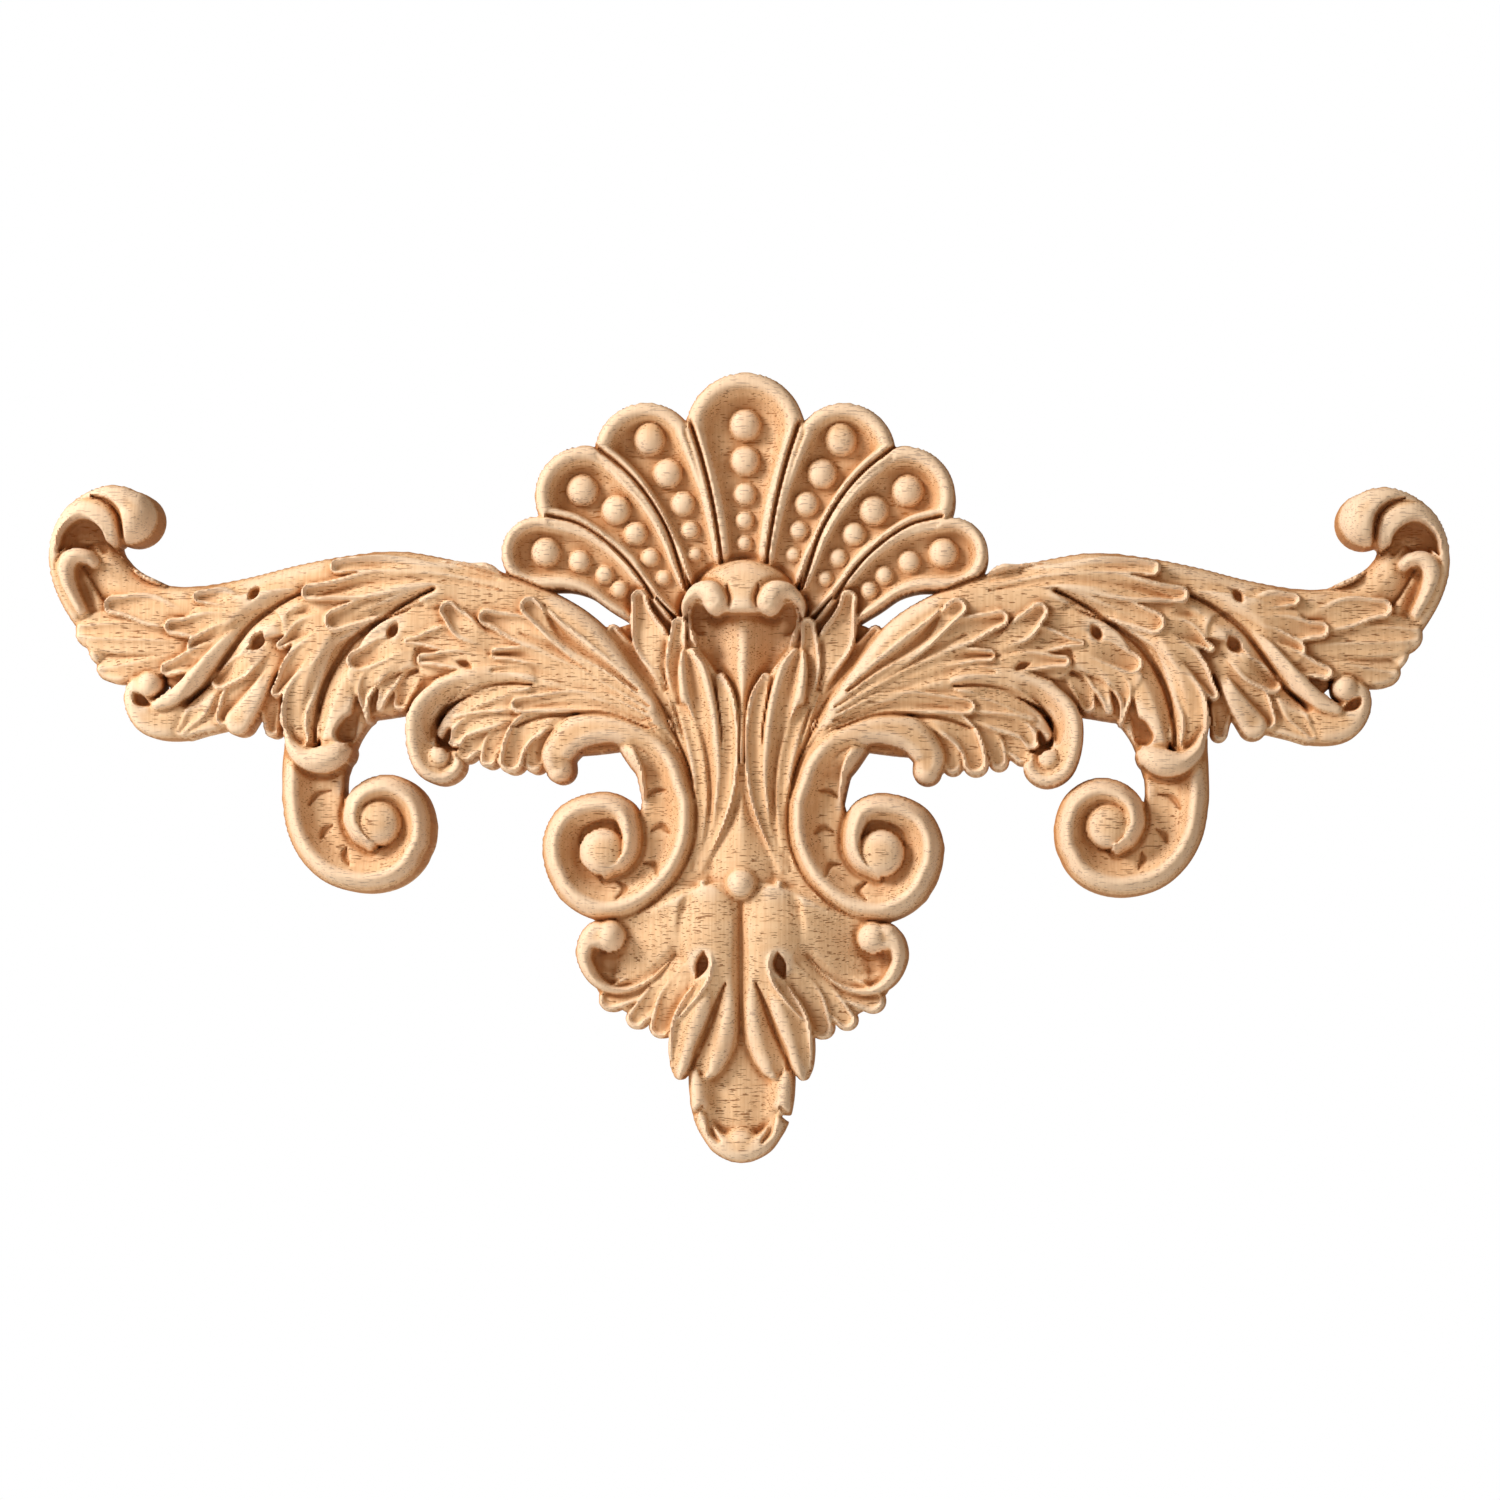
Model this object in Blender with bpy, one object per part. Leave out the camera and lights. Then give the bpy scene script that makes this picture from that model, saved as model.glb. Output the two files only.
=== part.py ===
"""Carved wood applique: a shell over two leafy scroll arms, cut from one board with a flat back.

The solid is one piece of wood. It is carved here as a height field: strokes laid one over the other,
each a smooth path with its half width and height, from the lowest ground to the topmost leaf. Points
are (u, z, half width, height) in millimetres: u is the distance from the mirror line, z is up, and
height is measured from the flat back. The front faces -Y and the back lies in the plane y = 0.
"""
import bmesh
import bpy
import numpy as np

MM = 0.001
WIDTH = 284.0
TOP = 81.0
FOOT = -80.0
CELL = 0.9
TRIANGLES = 9800
NODE = "carved_applique"
WOOD_COLOR = (0.78, 0.55, 0.36, 1.0)
WOOD_ROUGHNESS = 0.62

LEAST_WOOD = 2.0


def smooth(t):
    """Ease from 0 to 1."""
    t = np.clip(t, 0.0, 1.0)
    return t * t * (3.0 - 2.0 * t)


def through(points, per_span=9):
    """A smooth curve through rows of values (Catmull-Rom)."""
    p = np.asarray(points, float)
    p = np.vstack([2 * p[0] - p[1], p, 2 * p[-1] - p[-2]])
    t = np.linspace(0.0, 1.0, per_span, endpoint=False)[:, None]
    rows = [0.5 * (2 * b + (c - a) * t + (2 * a - 5 * b + 4 * c - d) * t ** 2
                   + (3 * b - a - 3 * c + d) * t ** 3)
            for a, b, c, d in zip(p[:-3], p[1:-2], p[2:-1], p[3:])]
    return np.vstack(rows + [p[-2][None]])


def beside(path, side):
    """Move a drawn edge inwards by its half width, to the left (+1) or right (-1) of its travel."""
    step = np.gradient(path[:, :2], axis=0)
    step /= np.maximum(np.hypot(step[:, 0], step[:, 1]), 1e-9)[:, None]
    moved = path.copy()
    moved[:, 0] -= side * step[:, 1] * path[:, 2]
    moved[:, 1] += side * step[:, 0] * path[:, 2]
    return moved


def section(rows, value):
    """Read a section drawn by a few (place, height) rows, rounded between them."""
    curve = through(rows)
    return np.interp(value, curve[:, 0], curve[:, 1])


# The strokes were measured on the wing that stands a little further off and a little higher in the
# picture: towards its end all looks smaller by FAR and higher by LEAN for each millimetre.
FAR = 0.6e-4
LEAN = 0.003


class Carving:
    """A block of wood seen from the front: how far each point is inside the outline, and its height."""

    def __init__(self, x, z):
        far = 1.0 - FAR * np.abs(x)
        self.u = np.abs(x) * far
        self.z = z * far + LEAN * np.abs(x)
        self.right = x > 0.0
        self.inside = np.full(x.shape, -9.0)
        self.height = np.zeros(x.shape)

    def follow(self, path, reach=1.5, skew=0.0):
        """The points near a stroke, and where each lies on it."""
        reach = reach + abs(skew) * path[:, 2].max()
        low = (path[:, :2] - path[:, 2:3]).min(0) - reach
        high = (path[:, :2] + path[:, 2:3]).max(0) + reach
        at = np.nonzero((self.u > low[0]) & (self.u < high[0]) & (self.z > low[1]) & (self.z < high[1]))
        u = self.u[at]
        z = self.z[at]
        inside = np.full(u.shape, -1e3)
        along = np.zeros(u.shape)
        across = np.zeros(u.shape)
        out = np.zeros(u.shape)
        wide = np.ones(u.shape)
        top = np.zeros(u.shape)
        length = np.hypot(*np.diff(path[:, :2], axis=0).T)
        start = np.concatenate([[0.0], np.cumsum(length)])
        for k, (a, b) in enumerate(zip(path[:-1], path[1:])):
            d = b - a
            size = max(length[k], 1e-6)
            t = np.clip(((u - a[0]) * d[0] + (z - a[1]) * d[1]) / size ** 2, 0.0, 1.0)
            du = u - a[0] - t * d[0]
            dz = z - a[1] - t * d[1]
            far = np.hypot(du, dz)
            half = a[2] + t * d[2]
            if skew:
                half = half * (1.0 + skew * np.clip(2.0 * (d[0] * dz - d[1] * du) / (size * half), -1.0, 1.0))
            new = half - far > inside
            inside = np.where(new, half - far, inside)
            along = np.where(new, (start[k] + t * size) / start[-1], along)
            across = np.where(new, (d[0] * dz - d[1] * du) / (size * half), across)
            out = np.where(new, far / half, out)
            wide = np.where(new, half, wide)
            top = np.where(new, a[3] + t * d[3], top)
        return at, inside, along, np.clip(across, -1, 1), np.clip(out, 0, 1), wide, top

    def stroke(self, rows, side=0, crown=0.0, spoon=None, skew=0.0, flutes=0, groove=0.0,
               across=None, bowl_section=None, lip=None, rim=None, root=0.0, edge=0.5, moat=0.0,
               below=None, mode="over"):
        """One stroke along rows of (u, z, half width, height), laid over what is there."""
        path = through(rows)
        path[:, 2] = np.maximum(path[:, 2], 0.05)
        if side:
            path = beside(path, side)
        at, inside, along, q, out, wide, h = self.follow(path, skew=skew)
        fade = smooth(along / root) if root else 1.0
        if below is not None:
            fade = fade * smooth((below - self.z[at]) / 0.8)
        h = h + crown * (1.0 - out ** 2)
        if spoon is not None:
            deep, start, least = spoon
            deep = deep * (least + (1.0 - least) * smooth((along - start) / (0.92 - start)))
            h = h - deep * smooth((inside - 0.4) / 1.2)
        if flutes:
            cell = (q + 1.0) * 0.5 * flutes
            wave = 2.0 * (cell - np.minimum(np.floor(cell), flutes - 1)) - 1.0
            h = h - groove * (1.0 - wave ** 2)
        if across is not None:
            h = h + section(across, q)
        if bowl_section is not None:
            h = h + section(bowl_section, out) * np.minimum(0.5 + 0.05 * wide, 1.0)
        if lip is not None:
            h = h + section(lip, np.clip(inside, 0.0, lip[-1][0])) * fade
        if rim is not None:
            h = h + section(rim, np.clip((1.0 + side * q) * wide, 0.0, rim[-1][0]))
        now = self.height[at]
        before = self.inside[at]
        weight = smooth(inside / edge) * fade
        if mode == "dig":
            self.height[at] = now + (np.minimum(h, now) - now) * weight
            return
        if moat:
            now = now - moat * np.exp(-(inside / 0.8) ** 2) * fade
        if mode == "under":
            weight = np.zeros(weight.shape)
        bare = (1.0 - smooth(before / edge)) * smooth((inside + 0.4) / 0.4)
        weight = np.maximum(weight, bare)
        self.height[at] = now + (h - now) * weight
        self.inside[at] = np.maximum(before, inside)

    def groove(self, rows, depth, power=1.0):
        """Cut a vein or a shadow line: rows of (u, z, half width), as deep as said at its middle."""
        path = through([(u, z, w, 1.0) for u, z, w in rows])
        path[:, 2] = np.maximum(path[:, 2], 0.05)
        at, inside, along, q, out, wide, top = self.follow(path)
        self.height[at] -= depth * np.where(inside > 0, (1.0 - out ** 2) ** power, 0.0)

    def chip(self, rows):
        """A break in the right half alone: rows of (u, z, half width) cut out of the outline."""
        path = through([(u, z, w, 0.0) for u, z, w in rows])
        at, inside, along, q, out, wide, top = self.follow(path)
        inside = np.where(self.right[at], inside, -9.0)
        self.inside[at] = np.minimum(self.inside[at], -inside)
        self.height[at] -= 1.2 * smooth(inside / 0.4)

    def bead(self, u, z, radius):
        """A bead: half a ball laid on what is there."""
        at = np.nonzero((np.abs(self.u - u) < radius) & (np.abs(self.z - z) < radius))
        far = np.hypot(self.u[at] - u, self.z[at] - z) / radius
        self.height[at] += 0.95 * radius * np.sqrt(np.clip(1.0 - far ** 2, 0.0, 1.0))

    def dome(self, u, z, radius, foot, top):
        """A round end: a part of a ball on its foot."""
        at = np.nonzero((np.abs(self.u - u) < radius + 1) & (np.abs(self.z - z) < radius + 1))
        far = np.hypot(self.u[at] - u, self.z[at] - z) / radius
        rise = foot + (top - foot) * np.sqrt(np.clip(1.0 - far ** 2, 0.0, 1.0))
        now = self.height[at]
        self.height[at] = np.where(far < 1.0, np.maximum(now, rise), now)
        self.inside[at] = np.maximum(self.inside[at], radius * (1.0 - far))


SOFT = [(0.0, -1.0), (0.5, -0.3), (1.1, 0.0)]


def lobe(c, points, half, tops, neck=0.5, blunt=0.45, dish=1.5, start=0.25, least=0.1, fade=0.5,
         edge=0.4, moat=0.35, skew=0.0, lip=SOFT):
    """A leaf lobe along a few points: it grows out of the leaf, scooped inside a thin rim, and ends blunt."""
    line = through(points, 12)
    far = np.concatenate([[0.0], np.cumsum(np.hypot(*np.diff(line, axis=0).T))])
    t = np.array([0.0, 0.2, 0.4, 0.6, 0.75, 0.88, 1.0])
    at = t * (far[-1] - half * blunt)
    width = half * (neck + (1.0 - neck) * smooth(t / 0.7)) * (1.0 - (1.0 - blunt) * smooth((t - 0.55) / 0.45))
    rows = np.stack([np.interp(at, far, line[:, 0]), np.interp(at, far, line[:, 1]), width,
                     tops[0] + (tops[1] - tops[0]) * t ** 1.4], 1)
    c.stroke(rows, spoon=(dish, start, least), root=fade, edge=edge, moat=moat, skew=skew, lip=lip)


def vein(c, rows, depth):
    """A leaf's rib line: a sharp cut down the middle of a wide soft hollow."""
    c.groove([(u, z, 3.6 * half) for u, z, half in rows], 0.55 * depth, 1.6)
    c.groove([(u, z, 0.75 * half) for u, z, half in rows], 0.6 * depth)


def carve_ground(c):
    """The low ground that the leaves of the wing are cut from."""
    c.stroke([(24, 8, 4, 9.5), (36, 14, 11, 8.5), (50, 19, 14.5, 8), (64, 23.5, 12.5, 8), (78, 23, 13, 8),
              (92, 23, 12, 8), (104, 22.5, 11.5, 7.5), (114, 26, 7.5, 7)])
    c.stroke([(70, 15, 3.5, 8.5), (75.0, 12.8, 2.5, 8.5), (79.4, 7.4, 2.4, 8.5), (82, 0, 2.4, 8.5)])
    c.stroke([(52, 9, 4.0, 8.0), (56.5, 7.5, 3.2, 7), (60, 8, 3.4, 4.5)])
    c.stroke([(117.6, 18.6, 1.8, 4.0), (121, 18.6, 2.2, 6.0)])
    c.stroke([(19, 23, 3.0, 8.5), (23.2, 26.8, 2.5, 8.5)])


def carve_arm(c):
    """The smooth round back of the scroll, along its upper edge, down to the inner volute."""
    edge = [(126.6, 44.8, 4.0, 8.5), (121.4, 39.0, 4.6, 9.0), (116.0, 37.1, 5.0, 10),
            (109.5, 37.0, 4.8, 10.6),
            (100, 38.6, 5.2, 11.2), (90, 41.1, 5.5, 11.8), (80, 43, 6, 12.4), (70, 43.9, 6.5, 13),
            (60, 42.4, 6.5, 13.4), (50, 40.0, 6.5, 13.4), (44, 38.2, 6.5, 13.6), (35.8, 34.4, 6.5, 14.4),
            (29.6, 30.3, 6.5, 15), (23.8, 24.4, 6.5, 15.3), (18, 16.5, 6.4, 15.5), (13.5, 7.5, 5.8, 15.5),
            (11.7, 3.6, 5.4, 15.4), (10.3, 0, 5.5, 15.3), (8.8, -6, 5.6, 15)]
    c.stroke(edge, side=1, lip=[(0, -4.0), (0.8, -2.2), (2.2, -0.7), (4.2, 0.0)])


def carve_end_curl(c):
    """The wave at the wing's end: a dished face, a band that folds over it, and its ball end."""
    c.stroke([(128, 30, 4, 8.4), (132.4, 36, 4, 7.0), (134.4, 42, 4, 6.6)])
    c.stroke([(106, 31, 4.0, 10.6), (114, 31.6, 4.6, 9.6), (120, 33.2, 5.2, 8.6), (126.0, 36.2, 5.4, 7.6),
              (130.0, 40.6, 5.4, 7.0), (131.8, 46, 5.4, 6.4)],
             across=[(-1, 0.4), (-0.5, -0.2), (0.1, -0.2), (0.6, 0.6), (1, 1.6)], edge=1.5)
    c.stroke([(132.4, 26.0, 1.3, 8.2), (135.5, 30.2, 1.7, 9.6), (138.2, 35.4, 1.9, 11), (139.6, 41, 1.9, 12),
              (139.1, 46.6, 2.0, 12.8), (136.7, 51.6, 2.6, 13.4), (132.7, 55.0, 3.4, 13.8),
              (127.9, 56.8, 3.9, 14.2), (124.0, 56.5, 4.0, 14.4), (121.2, 55.2, 4.0, 14.4)],
             side=1, lip=[(0, -2.6), (0.8, -1.2), (2, -0.3), (3.6, 0.2), (5, 0.4)], moat=0.5)
    c.dome(122.9, 50.3, 5.5, 8.0, 15.0)
    c.stroke([(134.8, 51.0, 1.2, 12.6), (131.8, 51.6, 2.6, 13.0), (128.6, 50.2, 3.3, 13.0),
              (127.0, 47.4, 2.6, 12.0), (127.2, 45.6, 1.4, 10.6)], crown=0.9, root=0.3, moat=0.5,
             lip=[(0, -2.0), (0.8, -0.7), (1.8, 0)])
    c.groove([(130.6, 54.4, 0.2), (128.4, 53.9, 0.5), (126.3, 52.6, 0.7), (125.0, 50.4, 0.8),
              (124.7, 47.6, 0.9), (124.9, 45.0, 0.9)], 2.4)


def carve_small_curl(c):
    """The dark hollow under the end curl's band, and the small curl that stands in it."""
    c.stroke([(137.3, 43.6, 0.5, 7.2), (135.6, 46.6, 1.6, 5.8), (132.8, 48.2, 2.2, 5.2),
              (130.0, 46.8, 1.9, 5.8), (128.6, 44.0, 1.0, 6.4)], mode="dig", edge=0.7)
    c.stroke([(133.2, 39.4, 0.5, 7.4), (132.6, 36.4, 1.5, 6.4), (131.0, 33.0, 1.3, 6.8),
              (129.6, 30.6, 0.5, 8)],
             mode="dig", edge=1.2)
    c.stroke([(131.2, 29.4, 1.0, 9.4), (133.6, 33.0, 1.5, 10.2), (135.6, 37.4, 1.9, 11.2),
              (135.9, 40.8, 2.3, 11.8),
              (134.2, 42.6, 2.0, 12.0), (131.9, 42.5, 1.7, 11.6), (130.6, 41.6, 1.5, 11.0)],
             crown=0.4, root=0.2, lip=[(0, -2.4), (0.8, -0.8), (1.6, 0)], moat=0.5)


def carve_outer_hand(c):
    """The last leaf, three broad lobes laid flat under the end curl, with flutes."""
    c.stroke([(104, 27, 3.0, 10), (112, 26.2, 4.6, 9.6), (121, 25.6, 6.2, 9.2), (126.6, 25.2, 5.4, 8.4)])
    c.stroke([(108, 24.4, 2.6, 9.8), (114, 23.2, 3.6, 9.6), (121, 21.6, 4.0, 9.2), (125.4, 20.7, 3.4, 8.4),
              (127.6, 20.4, 2.6, 8.0)], flutes=2, groove=0.7, root=0.4, moat=0.5, lip=SOFT)
    c.stroke([(108, 26.2, 2.6, 10.0), (115, 27.0, 4.0, 10.0), (122, 27.6, 4.9, 9.6), (128.4, 27.6, 4.4, 9.0),
              (131.2, 27.6, 3.3, 8.6)], flutes=3, groove=0.7, root=0.4, moat=0.5, lip=SOFT)
    lobe(c, [(108, 28.2), (115, 30.6), (121.5, 32.4), (128.6, 33.0)], 3.6, (10.8, 10.6), dish=1.8,
         blunt=0.6, fade=0.8)


def carve_hook(c):
    """The small hook at the bottom of the wing, with its ball and pit."""
    c.stroke([(103, 13.5, 3.6, 9), (108, 11.4, 3.9, 9.2), (113, 9.9, 3.9, 9.4), (118.3, 10.3, 3.8, 9.6),
              (121.3, 12.8, 2.9, 9.8), (121.6, 15.8, 2.6, 9.8), (119.6, 16.6, 2.6, 9.8)],
             lip=[(0, -1.6), (0.8, -0.5), (1.8, 0)], moat=0.6)
    c.dome(119.2, 17.0, 2.8, 7.5, 11.0)
    c.stroke([(121.8, 14.8, 0.7, 6.6), (120.9, 13.8, 1.3, 6.0), (119.2, 12.9, 0.6, 7)], mode="dig", edge=0.6)
    c.stroke([(105.4, 17, 1.6, 9.8), (107.6, 12.6, 2.4, 9.6), (109.2, 10.6, 2.6, 9.4)])
    c.stroke([(111.9, 8.1, 2.1, 9.2), (108.6, 9.4, 2.4, 9.2), (104.8, 10.6, 2.7, 9.2)])
    lobe(c, [(104.5, 19.5), (107.5, 14.5), (110.4, 10.6), (113.4, 6.6)], 2.6, (10.6, 9.4), blunt=0.5,
         dish=1.0)


FORE_RIB = [(88.4, 35.3, 0.5), (92, 33.6, 0.8), (96, 31.0, 0.9), (99.2, 28.3, 1.0), (101.6, 25.3, 1.0),
            (104, 22.0, 1.0), (106.2, 18.9, 0.9), (108.7, 15.8, 0.8), (111.6, 13.2, 0.4)]


def carve_fore_leaf(c):
    """The leaf between the big one and the end: lobes above its rib, then lobes below it."""
    c.stroke([(84, 32, 5.0, 12.6), (94, 31, 5.0, 12.4), (102, 30.0, 4.6, 12), (108, 29.4, 3.4, 11.2)],
             crown=0.4)
    c.stroke([(96, 28, 4.2, 12), (102, 24.5, 4.0, 11.6), (107, 20.8, 3.2, 11), (110, 18, 2.4, 10.4)],
             crown=0.4)
    lobe(c, [(98, 32.0), (104, 33.8), (110.4, 34.1)], 2.3, (12.4, 12.2), blunt=0.7, dish=1.9, skew=0.2,
         fade=0.85)
    lobe(c, [(97, 31.4), (104, 29.2), (110, 28.4), (116.2, 28.5)], 3.2, (12.6, 11.8), blunt=0.6, dish=2.0,
         fade=0.85)
    lobe(c, [(98, 30), (105, 26.2), (111.4, 23.2)], 3.0, (12.4, 11.8), blunt=0.95, dish=2.0, fade=0.85)
    lobe(c, [(100, 28), (106, 23.6), (111, 21.4), (116.9, 19.5)], 2.9, (11.8, 11.0), blunt=0.6, dish=1.8,
         fade=0.85)
    c.stroke([(98, 30.2, 0.9, 12.2), (103.2, 25.6, 1.5, 12), (107.2, 20.9, 1.9, 11.4),
              (110.7, 17.2, 2.1, 10.8),
              (114.4, 14.2, 1.8, 10.2), (117.4, 12.8, 1.3, 9.8)], crown=0.9, root=0.4, moat=0.4)
    c.stroke([(91, 24, 3, 9.4), (96, 22.0, 4.0, 10.2), (99, 17.0, 4.0, 9.4), (100, 12.5, 3.4, 8.6)])
    lobe(c, [(93.4, 20), (94.8, 13), (94.4, 6.4)], 2.5, (10.6, 8.8), blunt=0.7, dish=1.8, fade=0.6)
    lobe(c, [(94.6, 24), (99.4, 17.8), (102.8, 13.0), (104.6, 8.6)], 3.4, (12, 10.4), blunt=0.6, dish=1.7,
         fade=0.75)
    c.stroke([(93.4, 21.6, 0.8, 11.6), (96.0, 17.0, 1.7, 11.8), (98.8, 12.8, 2.4, 11.2),
              (101.2, 9.6, 2.9, 10.2)],
             crown=0.5, root=0.5, moat=0.4, lip=SOFT)
    lobe(c, [(94.6, 24.8), (99.4, 21.4), (103.2, 18.8), (106.8, 16.8)], 2.9, (12.6, 11.4), blunt=0.8,
         dish=2.2,
         fade=0.7)
    vein(c, FORE_RIB, 3.2)
    c.stroke([(98.7, 34.0, 0.5, 10), (98.0, 35.1, 1.1, 9.0), (97.2, 36.2, 0.5, 10)], mode="dig", edge=0.6)
    c.stroke([(98.2, 24.2, 0.7, 9), (97.3, 25.5, 1.4, 7.6), (96.5, 26.9, 0.7, 9)], mode="dig", edge=0.6)


def carve_outer_volute(c):
    """The outer volute: its stem, the winding rim over a hollow channel, and the domed eye."""
    rim = [(0, -4.0), (1.0, -2.0), (2.0, -0.4), (2.9, 0.0), (3.8, -0.7), (5.2, -2.4), (7.5, -3.6), (14, -3.2)]
    c.stroke([(84.8, 12, 6.2, 8.6), (85.5, 4, 6.2, 8.6), (86.2, -4, 6.2, 8.6), (84.6, -11, 5.8, 8.6)])
    c.stroke([(92.3, 6, 5.6, 12), (92.5, 0, 6.0, 12), (92.5, -6, 6.0, 12), (91.2, -13, 5.8, 12.2),
              (87.8, -19, 5.6, 12.5), (82.5, -23.1, 5.2, 12.8), (75.2, -24.7, 4.7, 13),
              (68.5, -23.1, 4.2, 13.1), (63.9, -18.7, 3.8, 13.2), (62.0, -12.2, 3.5, 13.3)],
             side=-1, rim=rim)
    c.stroke([(64.6, -19.6, 4.0, 13.1), (62.3, -15, 3.7, 13.2), (62.1, -9.8, 3.4, 13.3),
              (63.9, -5.0, 3.3, 13.4),
              (67.6, -1.9, 3.1, 13.5), (71.8, -1.0, 2.9, 13.6), (76.2, -2.3, 2.6, 13.7),
              (79.4, -5.6, 2.3, 13.8), (80.2, -10.3, 2.0, 13.8), (78.4, -14.4, 1.6, 13.6),
              (75.2, -16.5, 1.2, 13.4)], side=-1, rim=rim, root=0.08, moat=0.8)
    c.dome(72.8, -10.7, 4.7, 10.6, 13.8)
    for rows in (((86.9, -7.2, 0.3), (85.3, -4.9, 0.8), (82.6, -4.2, 0.3)),
                 ((84.2, -13.8, 0.3), (83.6, -12.2, 0.9), (82.2, -11.2, 0.3)),
                 ((79.3, -15.8, 0.3), (79.5, -17.3, 0.8), (78.6, -19.2, 0.3))):
        c.groove(rows, 1.0)


BIG_RIB = [(62, 35.9, 0.2), (67, 33.5, 0.5), (72, 30.2, 0.8), (76.4, 27.3, 1.0),
           (79.0, 25.0, 1.1), (81.5, 21.4, 1.0), (83.7, 17, 1.0), (85, 12.5, 0.9), (85.6, 8.5, 0.8),
           (85.6, 5.4, 0.5)]


def carve_big_leaf(c):
    """The big leaf that wraps the arm: its turned-down lobes outside, its flutes along the top."""
    c.stroke([(66, 31, 3.0, 12.0), (74, 26.5, 4.0, 11.6), (80, 19.5, 4.6, 11.2), (82, 11, 3.6, 11.6),
              (81.8, 5.5, 3.0, 12.4)], crown=0.4)
    c.stroke([(77, 31.0, 3.4, 13.4), (84, 27.4, 4.2, 12.8), (87.6, 20.5, 4.2, 12.6), (88.6, 13, 3.6, 12.6),
              (87.8, 7, 3.6, 12.8)], crown=0.4)
    c.stroke([(52, 37.6, 3.6, 14.0), (66, 37.4, 4.2, 14.2), (77, 35.6, 4.4, 13.6), (83, 34.0, 3.2, 12.6)],
             root=0.5, edge=1.2)
    lobe(c, [(81, 32.6), (86.5, 32.0), (91.4, 30.2)], 2.0, (12.8, 12.4), dish=1.6, fade=0.75)
    lobe(c, [(79.5, 31.4), (86.5, 28.2), (93.4, 24.0)], 2.6, (13.4, 12.6), dish=2.0, fade=0.75, skew=0.15)
    lobe(c, [(79, 29.6), (85.6, 23.8), (90.2, 19.4), (93.8, 14.2)], 3.2, (13.6, 12.6), dish=2.1, fade=0.75,
         skew=0.15)
    lobe(c, [(80.5, 27), (86.6, 18.5), (89.6, 11.0), (88.4, 3.4)], 3.4, (13.6, 13.2), dish=2.2, blunt=0.8,
         fade=0.75)
    lobe(c, [(56, 37.4), (67, 34.8), (76, 31.6), (83.8, 28.7)], 3.2, (15.0, 14.4), blunt=0.8, dish=2.1,
         fade=0.85)
    lobe(c, [(54, 38.0), (67, 38.0), (79, 36.0), (88.6, 35.0)], 3.2, (15.4, 14.4), blunt=0.6, dish=2.0,
         fade=0.85)
    lobe(c, [(56, 38.8), (66, 40.6), (76, 40.9), (82.9, 40.2)], 2.0, (15.0, 14.6), blunt=0.9, dish=1.8,
         fade=0.85)
    vein(c, BIG_RIB, 3.4)
    c.groove([(82, 39.4, 0.5), (72, 40.2, 1.0), (60, 39.8, 1.0), (49, 37.8, 0.3)], 0.6)
    c.groove([(85, 34.4, 0.5), (75, 37.0, 1.0), (62, 37.8, 1.0), (49, 35.8, 0.3)], 0.8)
    c.stroke([(77.3, 11.3, 0.6, 7.6), (78.8, 9.2, 1.7, 7.0), (79.6, 7.2, 2.2, 7)], mode="dig", edge=0.7)
    c.stroke([(91.4, 8, 0.7, 11.8), (90.0, 4.4, 1.6, 13.2), (87, 2.0, 2.4, 14.2), (83.6, 1.9, 3.0, 14.6),
              (81.0, 2.8, 2.6, 14.2), (79.8, 3.4, 1.8, 13.4)], crown=0.9,
              lip=[(0, -2.4), (0.8, -0.9), (2, 0)],
             moat=0.8)


def carve_cross_leaf(c):
    """The short leaf between the big leaf and the inner one, with a drilled eye above it."""
    c.stroke([(60, 27, 6, 12.2), (70, 24.5, 5.6, 12.2), (76.2, 19, 3.2, 11.8)], crown=0.3)
    c.stroke([(62, 18, 3.0, 10.5), (67.5, 15.4, 2.9, 9.6), (71.6, 14.2, 2.8, 9.0)])
    lobe(c, [(63, 21.5), (67.2, 17.2), (69.0, 11.6)], 2.6, (11.8, 10.4), blunt=0.7, dish=1.5, fade=0.8)
    lobe(c, [(64, 23), (70.4, 18.0), (73.2, 11.4)], 2.1, (12, 10.8), blunt=0.5, dish=0.9, fade=0.8)
    lobe(c, [(64, 24.4), (71.8, 20.6), (75.7, 15.6), (75.1, 9.3)], 2.5, (12.8, 11.6), blunt=0.25, dish=1.8,
         fade=0.85)
    lobe(c, [(63, 25.4), (70.5, 24.0), (75.6, 21.8), (79.2, 20.4)], 3.0, (13, 12.2), blunt=0.85, dish=2.0,
         fade=0.85,
         skew=0.15)
    c.stroke([(70.8, 26.4, 0.7, 11), (70.2, 27.6, 1.2, 9), (69.5, 28.9, 0.7, 11)], mode="dig", edge=0.6)


INNER_RIB = [(62.4, 6.2, 0.3), (62.2, 8.8, 0.6), (60.6, 11.4, 0.9), (57, 14.2, 1.1), (52, 16.3, 0.9),
             (47, 17.0, 0.6), (42, 16.8, 0.2)]


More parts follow.
